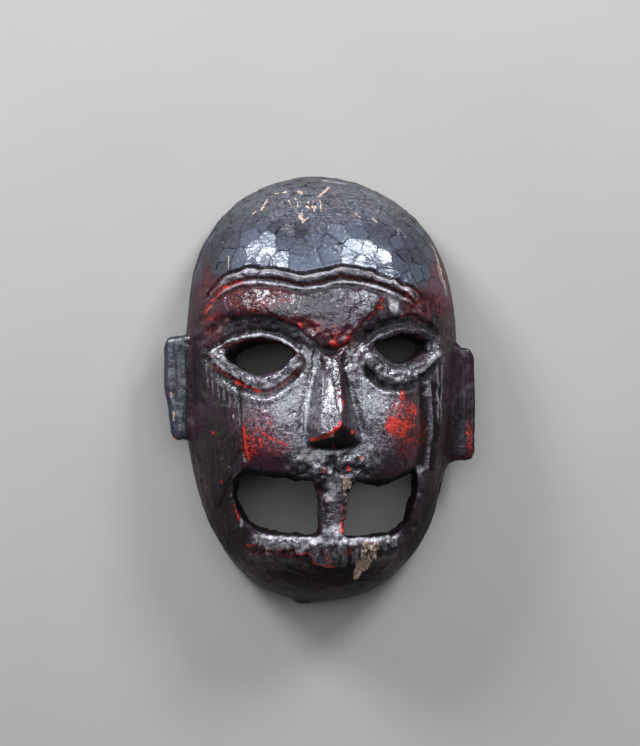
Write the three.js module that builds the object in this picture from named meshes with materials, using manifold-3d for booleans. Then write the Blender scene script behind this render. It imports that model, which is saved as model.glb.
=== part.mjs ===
// A carved wooden face mask, cut from one block: a hollow shell with pierced eyes and mouth, slab ears,
// a raised brow line, rimmed eyes, a wedge nose and a post that halves the mouth.
// Millimetres. It lies face up on its back rim: +X to the right, +Y to the crown, +Z out of the face.
import * as THREE from "three";
import { ConvexGeometry } from "three/addons/geometries/ConvexGeometry.js";
import { mergeVertices } from "three/addons/utils/BufferGeometryUtils.js";
import Module from "manifold-3d";

const wasm = await Module();
wasm.setup();

// Driving dimensions

const FACE_DEPTH = 96; // back rim to the flat middle of the face, before the nose
const WALL = 11; // side walls
const FRONT_WALL = 14; // the wall behind the face
const SQUARENESS = 2.4; // section of the vault: 2 is an ellipse, more is boxier
const OUTER_CELLS = 50; // cells across the carved outside
const HOLLOW_CELLS = 24; // cells across the gouged inside
const SKIRT = 20; // how far the blank reaches behind the back rim before it is cut flat
const SEAT = 7; // how deep an added form is sunk in the shell
const RELIEF_ENDS = [0.82, 0.97]; // the forms of the face fade out between these shares of the way to the rim
const RELIEF_INSIDE = 0.7; // how much of the face's relief the hollow follows
const ROW_CROWDING = 1.2; // above 1, the rows of cells draw together over the middle of the face

// The back rim seen from the front, clockwise from the crown.
const RIM_OUTLINE = [
  [-10, 138.5],
  [28, 132.5],
  [60, 112.5],
  [78, 85],
  [86.5, 48],
  [86, 0],
  [79.5, -53],
  [64, -98.5],
  [33, -128],
  [-5, -135],
  [-43, -123],
  [-68, -93],
  [-82, -53],
  [-88, -5],
  [-86.5, 42],
  [-78, 90],
  [-52, 123],
];

// Rounded swellings and hollows of the face: centre, half width, half height, and how far it stands out.
const FORMS = [
  { at: [-44, 25], spread: [38, 25], rise: -9 }, // left eye socket
  { at: [45, 27], spread: [37, 26], rise: -9 }, // right eye socket
  { at: [2, 52], spread: [36, 30], rise: 5 }, // frown between the brows
  { at: [-42, 57], spread: [34, 22], rise: 3.5 }, // left brow
  { at: [46, 59], spread: [30, 20], rise: 2 }, // right brow
  { at: [-36, -20], spread: [32, 32], rise: 6.5 }, // left cheek
  { at: [40, -18], spread: [31, 31], rise: 6.5 }, // right cheek
  { at: [0, -44], spread: [66, 20], rise: 6 }, // upper lip
  { at: [-2, -98], spread: [62, 16], rise: 8 }, // lower lip
  { at: [-2, -114], spread: [44, 10], rise: -2.5 }, // hollow under the lower lip
];

// Each eye hole: its corners and its highest and lowest points at the surface, and the same at the back.
const EYES = {
  left: {
    front: { outer: [-71, 24], top: [-45, 31.5], inner: [-20.5, 22.5], bottom: [-43, 10.5] },
    back: { outer: [-58, 21], top: [-45, 25.5], inner: [-21, 21], bottom: [-43, 11] },
    frontHeight: 75,
    backHeight: 60,
  },
  right: {
    front: { outer: [66.5, 29], top: [48.5, 35.5], inner: [28.5, 28], bottom: [43, 18] },
    back: { outer: [57.5, 27], top: [45, 33], inner: [30.5, 26], bottom: [43, 18.5] },
    frontHeight: 75,
    backHeight: 60,
  },
};

// How far each eye cutter runs on past the front and the back of the wall.
const EYE_RUN_ON = { front: 22, back: 8 };

// Centre lines of the raised lids around the eye holes, and their radius.
const LIDS = [
  { radius: 3, line: [[-75, 24], [-62, 31.5], [-45, 34], [-28, 30], [-18, 22.5]] },
  { radius: 4.8, line: [[-75, 24], [-60, 12.5], [-43, 5.5], [-28, 11], [-18, 22.5]] },
  { radius: 3.2, line: [[19, 23], [28, 32.5], [48, 38.5], [64, 36], [71, 28]] },
  { radius: 5.8, line: [[19, 23], [27, 15], [41, 10.5], [57, 14.5], [71, 28]] },
];

const BROW_BEAD = [
  [-69, 65],
  [-52, 73],
  [-35, 72.5],
  [-17, 69],
  [5, 73.5],
  [15, 73.5],
  [40, 66],
  [54, 60],
];
const BEAD_RADIUS = 3;
const BEAD_PROUD = 1; // height of the bead's centre over the face

// The nose: outline corners in plan, each with its height over the flat of the face.
const NOSE = [
  [-4, 24, 1],
  [5.5, 24, 1],
  [-4, 18, 5],
  [3.5, 18, 5],
  [-9, -27, 22],
  [-2, -25, 25.5],
  [5, -19.5, 27],
  [-12.5, -30, 14],
  [16.5, -29, 14],
  [-15.5, -32.5, -2],
  [19, -31.5, -2],
  [2, -36, -1],
];

// The mouth on each side of the post. A lump fills the upper outer corner of the left half.
const MOUTH_LEFT = [
  [-52.5, -47.5],
  [-42, -50],
  [-25, -52],
  [-7, -56],
  [-5, -90.5],
  [-45, -88.5],
  [-50, -83],
  [-55, -76],
  [-58.5, -67],
  [-59, -57],
  [-57.5, -54],
  [-54, -52],
];
const MOUTH_RIGHT = [
  [14, -55.5],
  [29, -56.5],
  [38, -55],
  [56, -46.5],
  [57, -60],
  [55.5, -70],
  [50, -84],
  [43, -92],
  [8, -91],
  [11, -70],
];
const MOUTH_FRONT = 110; // the mouth is drawn at this height
const MOUTH_BACK = 25; // and it narrows to this one
const MOUTH_TAPER = 0.93; // size of the mouth at the lower height, against its size at the upper

const EAR_LEFT = [
  [-76, 36],
  [-97, 35],
  [-100, 29],
  [-100, 2],
  [-97.5, -10],
  [-95.5, -28],
  [-92, -31.5],
  [-76, -30],
];
const EAR_RIGHT = [
  [76, 28],
  [92, 28],
  [95.5, 23],
  [95.5, -40],
  [93.5, -44],
  [74, -47],
];
// The small point at the bottom of the chin: its corners from the back rim up.
const CHIN_POINT = [
  [-24, -129, 0],
  [-14, -138.5, 0],
  [8, -135.5, 0],
  [-8, -125, 0],
  [-14, -136.5, 14],
  [-9, -126, 38],
];

const EAR_THICKNESS = 14;
const EAR_HEIGHT = 20; // underside of the ears over the back rim
const EAR_HINGE = 80; // distance from the middle of the line that each ear is turned about
const EAR_TURN = THREE.MathUtils.degToRad(12); // outer edge of each ear is set back

// Fineness of the curves
const RIM_SAMPLES = 720;
const BAR_STEPS = 4; // rings from one corner of a bar's line to the next, and sides to half a turn
const LID_STEPS = 6; // points along each corner of an eye hole
const BLANK_SIZE = 400; // larger than the whole mask

// Solids and geometries

function solidFrom(geometry) {
  const bare = geometry.clone();
  bare.deleteAttribute("normal");
  bare.deleteAttribute("uv");
  const merged = mergeVertices(bare, 1e-3);
  return new wasm.Manifold(
    new wasm.Mesh({
      numProp: 3,
      vertProperties: new Float32Array(merged.attributes.position.array),
      triVerts: new Uint32Array(merged.index.array),
    }),
  );
}

function geometryFrom(solid) {
  const { vertProperties, triVerts } = solid.getMesh();
  const geometry = new THREE.BufferGeometry();
  geometry.setAttribute("position", new THREE.BufferAttribute(vertProperties, 3));
  geometry.setIndex(new THREE.BufferAttribute(triVerts, 1));
  return geometry;
}

// The vault of the mask

const rimCurve = new THREE.CatmullRomCurve3(
  RIM_OUTLINE.map(([x, y]) => new THREE.Vector3(x, y, 0)),
  true,
  "centripetal",
);
const rimSamples = rimCurve
  .getSpacedPoints(RIM_SAMPLES)
  .map((point) => ({ angle: Math.atan2(point.y, point.x), radius: Math.hypot(point.x, point.y) }))
  .sort((a, b) => a.angle - b.angle);

// Distance from the middle of the mask to the rim, in the direction of an angle.
function rimRadius(angle) {
  const after = rimSamples.findIndex((sample) => sample.angle >= angle);
  if (after <= 0) return rimSamples[0].radius;
  const [low, high] = [rimSamples[after - 1], rimSamples[after]];
  const share = (angle - low.angle) / (high.angle - low.angle || 1);
  return low.radius + share * (high.radius - low.radius);
}

function swelling(x, y, { at, spread, rise }) {
  const away = ((x - at[0]) / spread[0]) ** 2 + ((y - at[1]) / spread[1]) ** 2;
  return away < 1 ? rise * (1 - away) ** 2 : 0;
}

// The forms of the face fade out towards the side walls.
function faceRelief(x, y, spread) {
  const fade = 1 - THREE.MathUtils.smoothstep(spread, ...RELIEF_ENDS);
  return fade * FORMS.reduce((sum, form) => sum + swelling(x, y, form), 0);
}

function vaultHeight(spread, depth) {
  return depth * Math.max(0, 1 - spread ** SQUARENESS) ** (1 / SQUARENESS);
}

// Height of the carved face at a place.
function faceHeight(x, y) {
  const spread = Math.hypot(x, y) / rimRadius(Math.atan2(y, x));
  return vaultHeight(Math.min(spread, 1), FACE_DEPTH) + faceRelief(x, y, spread);
}

// A square of side 2 opens into a disc of radius 1, ring by ring.
function squareToDisc(u, v) {
  if (u === 0 && v === 0) return { ring: 0, angle: 0 };
  if (Math.abs(u) > Math.abs(v)) {
    const angle = (Math.PI / 4) * (v / u);
    return { ring: Math.abs(u), angle: u > 0 ? angle : angle + Math.PI };
  }
  const angle = Math.PI / 2 - (Math.PI / 4) * (u / v);
  return { ring: Math.abs(v), angle: v > 0 ? angle : angle + Math.PI };
}

// Each cell of a grid is split along its shorter diagonal, which follows the carved forms.
function splitAlongForms(geometry) {
  const place = geometry.attributes.position;
  const corner = (i) => new THREE.Vector3().fromBufferAttribute(place, i);
  const index = geometry.index;
  for (let i = 0; i < index.count; i += 6) {
    const [a, b, d, c] = [0, 1, 2, 4].map((step) => index.getX(i + step));
    if (corner(a).distanceTo(corner(c)) < corner(b).distanceTo(corner(d))) {
      [a, b, c, a, c, d].forEach((vertex, step) => index.setX(i + step, vertex));
    }
  }
  return geometry;
}

// A closed vault over the rim, set in from it by inset, whose bottom is SKIRT below the rim.
function vaultGeometry(cells, inset, depth, reliefShare) {
  const geometry = new THREE.BoxGeometry(2, 2, 1, cells, cells, 1);
  const place = geometry.attributes.position;
  for (let i = 0; i < place.count; i += 1) {
    const { ring, angle } = squareToDisc(place.getX(i), place.getY(i));
    const turned = Math.atan2(Math.sin(angle), Math.cos(angle));
    const turn = (Math.PI / 2) * Math.min(ring, 1) ** ROW_CROWDING;
    const spread = Math.sin(turn) ** (2 / SQUARENESS);
    const reach = spread * (rimRadius(turned) - inset);
    const x = reach * Math.cos(turned);
    const y = reach * Math.sin(turned);
    const top = place.getZ(i) > 0;
    const height = vaultHeight(spread, depth) + reliefShare * faceRelief(x, y, spread);
    place.setXYZ(i, x, y, top ? height : -SKIRT);
  }
  return splitAlongForms(geometry);
}

// A round bar along a line laid on the face.
function barOnFace(line, radius, proud) {
  const path = new THREE.CatmullRomCurve3(
    line.map(([x, y]) => new THREE.Vector3(x, y, faceHeight(x, y) + proud)),
  );
  const section = new THREE.Shape().absarc(0, 0, radius, 0, 2 * Math.PI);
  const steps = BAR_STEPS * (line.length - 1);
  return new THREE.ExtrudeGeometry(section, { extrudePath: path, steps, curveSegments: BAR_STEPS });
}

function flatCurve(corners) {
  return new THREE.CatmullRomCurve3(corners.map(([x, y]) => new THREE.Vector3(x, y, 0)));
}

// An eye hole: almond outlines at the front and the back of the wall, joined and run on past both faces.
function almond({ outer, top, inner, bottom }) {
  const upper = flatCurve([outer, top, inner]);
  const lower = flatCurve([inner, bottom, outer]);
  return [...upper.getPoints(LID_STEPS), ...lower.getPoints(LID_STEPS)];
}

function eyeCutter({ front, back, frontHeight, backHeight }) {
  const near = almond(front);
  const far = almond(back);
  const slope = (point, i, height) => {
    const share = (frontHeight - height) / (frontHeight - backHeight);
    return new THREE.Vector3().lerpVectors(point, far[i], share).setZ(height);
  };
  const proud = near.map((point, i) => slope(point, i, frontHeight + EYE_RUN_ON.front));
  const deep = near.map((point, i) => slope(point, i, backHeight - EYE_RUN_ON.back));
  return new ConvexGeometry([...proud, ...deep]);
}

function extruded(outline, depth) {
  const shape = new THREE.Shape(outline.map(([x, y]) => new THREE.Vector2(x, y)));
  return new THREE.ExtrudeGeometry(shape, { depth, bevelEnabled: false, steps: 1 });
}

function mouthCutter(outline) {
  const geometry = extruded(outline, MOUTH_FRONT - MOUTH_BACK);
  const place = geometry.attributes.position;
  const mean = (axis) => outline.reduce((sum, corner) => sum + corner[axis], 0) / outline.length;
  const [x, y] = [mean(0), mean(1)];
  for (let i = 0; i < place.count; i += 1) {
    const scale = place.getZ(i) > 1 ? 1 : MOUTH_TAPER;
    place.setX(i, x + scale * (place.getX(i) - x));
    place.setY(i, y + scale * (place.getY(i) - y));
  }
  return geometry.translate(0, 0, MOUTH_BACK);
}

function ear(outline, side) {
  const hinge = side * EAR_HINGE;
  return extruded(outline, EAR_THICKNESS)
    .translate(-hinge, 0, 0)
    .rotateY(side * EAR_TURN)
    .translate(hinge, 0, EAR_HEIGHT);
}

function nose() {
  const skin = NOSE.map(([x, y, rise]) => new THREE.Vector3(x, y, FACE_DEPTH + rise));
  const root = NOSE.map(([x, y]) => new THREE.Vector3(x, y, FACE_DEPTH - SEAT));
  return new ConvexGeometry([...skin, ...root]);
}

function chinPoint() {
  return new ConvexGeometry(CHIN_POINT.map((corner) => new THREE.Vector3(...corner)));
}

// Carving

let mask = solidFrom(vaultGeometry(OUTER_CELLS, 0, FACE_DEPTH, 1));
mask = mask.add(solidFrom(nose()));
mask = mask.add(solidFrom(chinPoint()));
for (const { line, radius } of LIDS) mask = mask.add(solidFrom(barOnFace(line, radius, 0)));
mask = mask.add(solidFrom(barOnFace(BROW_BEAD, BEAD_RADIUS, BEAD_PROUD)));
mask = mask.add(solidFrom(ear(EAR_LEFT, -1)));
mask = mask.add(solidFrom(ear(EAR_RIGHT, 1)));
mask = mask.subtract(solidFrom(vaultGeometry(HOLLOW_CELLS, WALL, FACE_DEPTH - FRONT_WALL, RELIEF_INSIDE)));
for (const eye of [EYES.left, EYES.right]) mask = mask.subtract(solidFrom(eyeCutter(eye)));
for (const side of [MOUTH_LEFT, MOUTH_RIGHT]) mask = mask.subtract(solidFrom(mouthCutter(side)));
const belowRim = new THREE.BoxGeometry(BLANK_SIZE, BLANK_SIZE, 2 * SKIRT).translate(0, 0, -SKIRT);
mask = mask.subtract(solidFrom(belowRim));

const lacqueredWood = new THREE.MeshStandardMaterial({ color: 0x2a2023, roughness: 0.45, metalness: 0 });
const maskMesh = new THREE.Mesh(geometryFrom(mask), lacqueredWood);
maskMesh.name = "mask";

// The origin is on the back rim's plane, under the middle of the mask and its ears.
const box = new THREE.Box3().setFromObject(maskMesh);
const object = new THREE.Group();
object.position.set(-(box.min.x + box.max.x) / 2, -(box.min.y + box.max.y) / 2, -box.min.z);
object.add(maskMesh);

export default object;
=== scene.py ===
# %% [markdown]
# # An old carved wooden face mask
#
# The mask is one block of wood: a hollow shell with pierced eyes and mouth, slab ears, a raised brow line
# and a wedge nose. It was cut with an adze and knives, painted with vermilion lacquer, and then lacquered
# black. Years of handling have worn the black down to the red, and in places both down to the wood.
#
# The CAD model gives its true size and its main forms. Here a finer copy of that surface is carved further,
# cut by cut, as the maker worked: first the tool marks, then the lines round the brow and the eyes, then
# the wear. It lies face up on its back rim: +X to the right, +Y to the crown and +Z out of the face.

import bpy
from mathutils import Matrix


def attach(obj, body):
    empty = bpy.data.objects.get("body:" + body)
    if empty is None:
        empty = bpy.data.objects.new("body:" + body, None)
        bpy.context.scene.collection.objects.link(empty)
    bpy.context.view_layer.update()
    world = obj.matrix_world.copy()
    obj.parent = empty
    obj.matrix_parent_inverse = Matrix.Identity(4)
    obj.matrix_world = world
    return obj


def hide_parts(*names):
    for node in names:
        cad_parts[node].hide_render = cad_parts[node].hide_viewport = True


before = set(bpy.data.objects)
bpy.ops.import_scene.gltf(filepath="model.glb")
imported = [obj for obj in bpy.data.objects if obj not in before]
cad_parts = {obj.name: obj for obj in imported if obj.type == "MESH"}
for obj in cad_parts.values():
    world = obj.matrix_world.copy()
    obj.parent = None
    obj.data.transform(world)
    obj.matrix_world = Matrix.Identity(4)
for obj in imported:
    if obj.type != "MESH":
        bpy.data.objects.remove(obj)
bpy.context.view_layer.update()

# %% Tools used all through
import itertools
import math

import bpy
import numpy as np
from mathutils import Vector

MM = 0.001  # Blender works in metres, and a carver in millimetres
FACE_CENTRE = np.array([2.2, -0.15, 0.0])  # where the face's own centre line lies in the frame


def in_frame(x, y, z):
    """A point given in millimetres from the face's centre line, as a place in the frame."""
    return Vector((np.array([x, y, z]) + FACE_CENTRE) * MM)


def deselect_all():
    bpy.ops.object.select_all(action="DESELECT")


def work_on(piece):
    """Make one object the only selected one, so that operators act on nothing else."""
    deselect_all()
    piece.select_set(True)
    bpy.context.view_layer.objects.active = piece


# %% [markdown]
# ## Camera, floor and light
#
# The view looks straight down at the face, leaning 4 degrees to one side, from two metres away through a
# long lens, so that the face keeps its true proportions.

# %% Camera
LEAN = math.radians(4.0)
LENS = 145.0  # mm
CAMERA_PLACE = (-136.0, 11.7, 1945.0)  # mm from the face's centre line

deselect_all()
bpy.ops.object.camera_add(location=in_frame(*CAMERA_PLACE), rotation=(0.0, -LEAN, 0.0))
camera = bpy.context.object
camera.name = "camera"
camera.data.lens = LENS
bpy.context.scene.camera = camera
print("camera height in metres:", round(camera.location.z, 3))

# %% [markdown]
# The floor is one pale matt sheet. Black lacquer shows its shape by what it mirrors, so the light is a pair
# of soft boxes beyond the crown, to the left and the right. They stand where the crown over the brow
# mirrors them, streak every other surface that tips that way, and leave the jaw and the side walls deep in
# tone. A wide, weak panel overhead keeps those from going blank.

# %% Floor
FLOOR_SIZE = 6.0
deselect_all()
bpy.ops.mesh.primitive_plane_add(size=FLOOR_SIZE, location=(0.0, 0.0, 0.0))
floor = bpy.context.object
floor.name = "floor"
print("floor side in metres:", FLOOR_SIZE)


# %% Lights
LOOKED_AT = Vector((0.0, 0.0, 0.06))  # in metres, half way up the face


def soft_box(name, towards, distance, size, power, tint):
    """A rectangular studio light in the direction `towards` from the face, turned to look at it."""
    aim = Vector(towards).normalized()
    bpy.ops.object.light_add(type="AREA", location=aim * distance + LOOKED_AT)
    box = bpy.context.object
    box.name = name
    box.rotation_euler = (-aim).to_track_quat("-Z", "Y").to_euler()
    box.data.shape = "RECTANGLE"
    box.data.size, box.data.size_y = size
    box.data.energy = power
    box.data.color = tint
    return box


COOL = (0.84, 0.91, 1.0)
soft_box("key_left", (-0.58, 0.655, 0.49), 1.5, (0.44, 0.34), 25.0, COOL)
soft_box("key_right", (0.45, 0.68, 0.585), 1.5, (0.44, 0.32), 21.0, COOL)
soft_box("top_panel", (-0.05, 0.34, 1.0), 1.7, (1.7, 1.2), 25.0, COOL)

# %% The room's own weak light
ROOM_TINT, ROOM_STRENGTH = (0.9, 0.93, 1.0, 1.0), 0.12

world = bpy.data.worlds.new("studio")
bpy.context.scene.world = world
world.use_nodes = True
room = world.node_tree.nodes["Background"].inputs
room["Color"].default_value = ROOM_TINT
room["Strength"].default_value = ROOM_STRENGTH
bpy.context.scene.view_settings.view_transform = "Standard"  # colours come out as they are written

# %% [markdown]
# ## The block
#
# The CAD surface is made of flat facets about 6 mm wide, too coarse to carve. It could be subdivided, but
# then the joints between the nose, the lids and the shell would stay as creases. A voxel remesh instead
# skins the whole solid with one even net of small squares, like fresh wood, and every later cut has points
# to move.

# %% Copy the CAD solid and skin it evenly
VOXEL = 1.1  # mm, the finest cut that the surface can hold

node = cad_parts["mask"]
mask = bpy.data.objects.new("carved_mask", node.data.copy())
bpy.context.scene.collection.objects.link(mask)
mask.data.materials.clear()
work_on(mask)
bpy.ops.object.mode_set(mode="EDIT")
bpy.ops.mesh.select_all(action="SELECT")
bpy.ops.mesh.remove_doubles(threshold=0.002 * MM)
bpy.ops.object.mode_set(mode="OBJECT")

remesh = mask.modifiers.new("skin", "REMESH")
remesh.mode = "VOXEL"
remesh.voxel_size = VOXEL * MM
bpy.ops.object.modifier_apply(modifier=remesh.name)
print("points in the even skin:", len(mask.data.vertices))


# %% Read and write the surface as arrays
def read_points(mesh):
    """Every point of the mesh, in millimetres from the face's centre line."""
    flat = np.empty(len(mesh.vertices) * 3)
    mesh.vertices.foreach_get("co", flat)
    return flat.reshape(-1, 3) / MM - FACE_CENTRE


def write_points(mesh, points):
    mesh.vertices.foreach_set("co", ((points + FACE_CENTRE) * MM).ravel())
    mesh.update()


def read_normals(mesh):
    flat = np.empty(len(mesh.vertices) * 3)
    mesh.vertex_normals.foreach_get("vector", flat)
    return flat.reshape(-1, 3)


def read_edges(mesh):
    flat = np.empty(len(mesh.edges) * 2, np.int32)
    mesh.edges.foreach_get("vertices", flat)
    return flat.reshape(-1, 2)


def relax(values, edges, rounds, share=0.5):
    """Draw each value towards the mean of its neighbours', which softens a shape or spreads a stain."""
    values = np.array(values, float)
    flat = values.reshape(len(values), -1)
    share = np.broadcast_to(share, len(values))[:, None]
    one, other = edges.T
    count = np.bincount(edges.ravel(), minlength=len(values))[:, None].clip(1)
    for _ in range(rounds):
        total = np.stack(
            [
                np.bincount(one, column[other], len(values)) + np.bincount(other, column[one], len(values))
                for column in flat.T
            ],
            1,
        )
        flat += share * (total / count - flat)
    return flat.reshape(values.shape)


def ramp(values, low, high):
    """0 below low, 1 above high, and a smooth rise between."""
    part = np.clip((values - low) / (high - low), 0.0, 1.0)
    return part * part * (3.0 - 2.0 * part)


# %% [markdown]
# The facets of the CAD shell are rubbed out by relaxing the skin, as a scraper would. Fine forms would go
# with them, so the lids, the brow bead, the nose and the rims of the holes are relaxed much less. The back
# rim stays on the floor.

# %% Rub out the facets
BACK_RIM = 0.6  # mm: points below this height stay where they are
FINE_FORMS = (  # centre and half size of the parts that keep their edges
    ((-46, 21), (34, 19)),
    ((46, 25), (32, 20)),
    ((2, -17), (24, 23)),
    ((2, 71), (16, 8)),
    ((-30, 71), (38, 9)),
    ((36, 67), (26, 9)),
)

points, edges = read_points(mask.data), read_edges(mask.data)
keep = np.zeros(len(points))
for centre, half in FINE_FORMS:
    far = np.hypot(*((points[:, :2] - centre) / half).T)
    keep = np.maximum(keep, ramp(far, 1.15, 0.9) * (points[:, 2] > 45))
free = points[:, 2] > BACK_RIM
points = relax(points, edges, 3, 0.5 * free)
points = relax(points, edges, 20, 0.5 * free * (1.0 - 0.92 * relax(keep, edges, 3)))
write_points(mask.data, points)

# %% [markdown]
# The hollow shows only its broad gouge marks, so it needs far fewer points than the face. Decimate thins
# them there, held back from the outside by a vertex group.


# %% Thin the net in the hollow
EGG_HALF = np.array([85.0, 135.0, 96.0])  # mm: half sizes of the egg that the block comes nearest to


def facing_out(points, normals):
    """1 where the surface looks away from the middle of the block, and below 0 in the hollow."""
    away = points / EGG_HALF**2
    away /= np.linalg.norm(away, axis=1)[:, None].clip(1e-9)
    return (away * normals).sum(1)


def thin_out(piece, where, share):
    """Merge points, only where the array says so, until this share of all the triangles is left."""
    group = piece.vertex_groups.new(name="thinned")
    group.add(np.flatnonzero(where).tolist(), 1.0, "REPLACE")
    thin = piece.modifiers.new("thin", "DECIMATE")
    thin.ratio = share
    thin.vertex_group = group.name
    work_on(piece)
    bpy.ops.object.modifier_apply(modifier=thin.name)
    piece.vertex_groups.clear()
    piece.data.calc_loop_triangles()
    return len(piece.data.loop_triangles)


HOLLOW_SHARE = 0.22  # how much of the hollow's net is kept
points, normals = read_points(mask.data), read_normals(mask.data)
hollow = facing_out(points, normals) < -0.35
triangles = thin_out(mask, hollow, 1.0 - hollow.mean() * (1.0 - HOLLOW_SHARE))
mesh = mask.data
print("triangles before carving:", triangles)

# %% [markdown]
# ## Carving
#
# Every cut is worked out on the uncarved surface, as a height along the normal, and all of them are added
# up and applied together. A cut is a line on the face with a profile across it. The carver's hand wasn't
# steady, so the lines waver and their depth comes and goes, by smooth seeded noise.

# %% The uncarved surface
BLOCK_HALF = np.array([88.0, 137.0, 97.0])  # mm: half sizes of the block's rounded outside
SQUARENESS = 2.4  # 2 would make it an egg, and a higher number is boxier

points, normals, edges = read_points(mesh), read_normals(mesh), read_edges(mesh)
normals = relax(normals, edges, 2)
normals /= np.linalg.norm(normals, axis=1)[:, None].clip(1e-9)
count = len(points)
outward = facing_out(points, normals)
outside = relax(ramp(outward, -0.15, 0.25), edges, 2)
block_depth = ((np.abs(points) / BLOCK_HALF) ** SQUARENESS).sum(1) ** (1.0 / SQUARENESS)  # 1 at its skin
wood_over = np.linalg.norm(points, axis=1) * (1.0 / block_depth.clip(0.2) - 1.0)  # mm from a point out to it
inside = ramp(outward, -0.3, -0.55) * ramp(wood_over, 3.0, 6.0)
back_rim = ramp(-normals[:, 2], 0.6, 0.85) * (points[:, 2] < 2.0)
inside = relax(np.maximum(inside, back_rim), edges, 2)
print("share of the points in the hollow and on the back rim:", round(inside.mean(), 3))

# %% Where the cuts are added up
lift = np.zeros(count)  # mm, along the normal
shift = np.zeros((count, 3))  # mm, any way

# %% Smooth noise, for an unsteady hand
NOISE_TABLE = np.random.default_rng(11).uniform(-1.0, 1.0, 8192)
SCRAMBLE = (73856093, 19349663, 83492791)  # large primes, which scatter neighbouring cells over the table


def noise(places, size, seed=0):
    """Smooth seeded noise from -1 to 1, in lumps of about `size` mm (one number, or one per axis)."""
    cell = places / np.asarray(size, float) + 37.7 * (seed + 1)
    low = np.floor(cell).astype(np.int64)
    part = cell - low
    part = part * part * (3.0 - 2.0 * part)
    total = np.zeros(len(places))
    for corner in itertools.product((0, 1), repeat=3):
        i, j, k = ((low + corner) * SCRAMBLE).T
        entry = (i ^ j ^ k) % len(NOISE_TABLE)
        total += NOISE_TABLE[entry] * np.where(corner, part, 1.0 - part).prod(1)
    return total


def rough_noise(places, size, seed=0, layers=3):
    """Noise with finer and finer lumps laid on top."""
    total = np.zeros(len(places))
    for layer in range(layers):
        total += noise(places, np.asarray(size, float) / 2**layer, seed + 7 * layer) / 2**layer
    return total / 1.5


WAVER = 0.55  # mm, how far a cut strays from its line
plan = points[:, :2] + WAVER * np.stack([noise(points, 7.0, 1), noise(points, 7.0, 2)], 1)


# %% Lines on the face
LOOKS_BACK = -0.3  # less outward than this is the hollow, which cuts on the face don't reach


def curve_through(corners, steps=6):
    """A smooth curve through the corners of a line."""
    knots = np.array(corners, float)
    ends = np.vstack([2 * knots[0] - knots[1], knots, 2 * knots[-1] - knots[-2]])
    t = np.linspace(0.0, 1.0, steps, endpoint=False)[:, None]
    spans = []
    for a, b, c, d in zip(ends, ends[1:], ends[2:], ends[3:]):
        spans.append(b + 0.5 * t * (c - a + t * (2 * a - 5 * b + 4 * c - d + t * (3 * (b - c) + d - a))))
    return np.vstack(spans + [knots[-1:]])


def along(corners, reach, height_over=20.0):
    """The points within `reach` of a line: their numbers, their signed distance (plus above the line, if it
    runs to the right) and how far along it they are, from 0 to 1."""
    path = curve_through(corners)
    boxed = ((plan > path.min(0) - reach) & (plan < path.max(0) + reach)).all(1)
    near = np.flatnonzero(boxed & (outward > LOOKS_BACK) & (points[:, 2] > height_over))
    spot = plan[near]
    legs = np.diff(path, axis=0)
    lengths = np.hypot(*legs.T)
    start = np.concatenate([[0.0], np.cumsum(lengths)])
    best, side, run = (np.full(len(near), v) for v in (1e9, 1.0, 0.0))
    for corner, leg, length, before in zip(path, legs, lengths, start):
        part = np.clip((spot - corner) @ leg / length**2, 0.0, 1.0)
        off = spot - corner - part[:, None] * leg
        far = np.hypot(*off.T)
        nearer = far < best
        best[nearer] = far[nearer]
        side[nearer] = np.where(leg[0] * off[:, 1] - leg[1] * off[:, 0] >= 0, 1.0, -1.0)[nearer]
        run[nearer] = ((before + part * length) / start[-1])[nearer]
    inside_reach = best < reach
    return near[inside_reach], (best * side)[inside_reach], run[inside_reach]


def unsteady(near, seed):
    """How hard the tool bore down at each point: about 1, coming and going."""
    return 1.0 + 0.35 * noise(points[near], 6.0, seed)


def taper(run, ends=0.08):
    """1 along a line and 0 at its two ends."""
    return ramp(run, 0.0, ends) * ramp(run, 1.0, 1.0 - ends)


def groove(corners, width, depth, ends=0.08, height_over=20.0):
    """A cut whose floor is narrow and whose shoulders are rounded."""
    near, off, run = along(corners, width * 2.5, height_over)
    lift[near] -= depth * np.exp(-np.abs(off / width) ** 1.6) * taper(run, ends) * unsteady(near, 3)


def bead(corners, width, height, ends=0.08, height_over=20.0):
    """A raised, rounded line."""
    near, off, run = along(corners, width * 2.5, height_over)
    lift[near] += height * np.exp(-((off / width) ** 2)) * taper(run, ends) * unsteady(near, 4)


def step(corners, drop, width, fade, ends=0.1, height_over=20.0, ragged=0.0):
    """A shelf: the side on the left of the line's travel stands `drop` above the other."""
    near, off, run = along(corners, fade * 2.5, height_over)
    off = off + ragged * rough_noise(points[near], 8.0, 15)
    shelf = (ramp(off, -width, width) - 0.5) * np.exp(-((off / fade) ** 2))
    lift[near] += drop * shelf * taper(run, ends) * unsteady(near, 5)


def within(centre, size, turn=0.0, height_over=20.0):
    """Distance from the middle of an oval, 1 at its edge, and the numbers of the points near it."""
    reach = 1.6 * max(size)
    boxed = (np.abs(plan - centre) < reach).all(1)
    near = np.flatnonzero(boxed & (outward > LOOKS_BACK) & (points[:, 2] > height_over))
    off = plan[near] - centre
    c, s = math.cos(math.radians(turn)), math.sin(math.radians(turn))
    far = np.hypot((off[:, 0] * c + off[:, 1] * s) / size[0], (off[:, 1] * c - off[:, 0] * s) / size[1])
    return near, far


def scoop(centre, size, depth, turn=0.0, edge=0.25):
    """A chip out of the surface: a dished floor with a broken edge."""
    near, far = within(centre, size, turn)
    far = far + 0.16 * noise(points[near], 2.6, 6)
    lift[near] -= depth * (0.7 * ramp(far, 1.0, 1.0 - edge) + 0.3 * ramp(far, 1.0, 0.0))


def swell(centre, size, height, turn=0.0):
    """A rounded lump."""
    near, far = within(centre, size, turn)
    lift[near] += height * np.exp(-((1.3 * far) ** 2))


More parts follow.
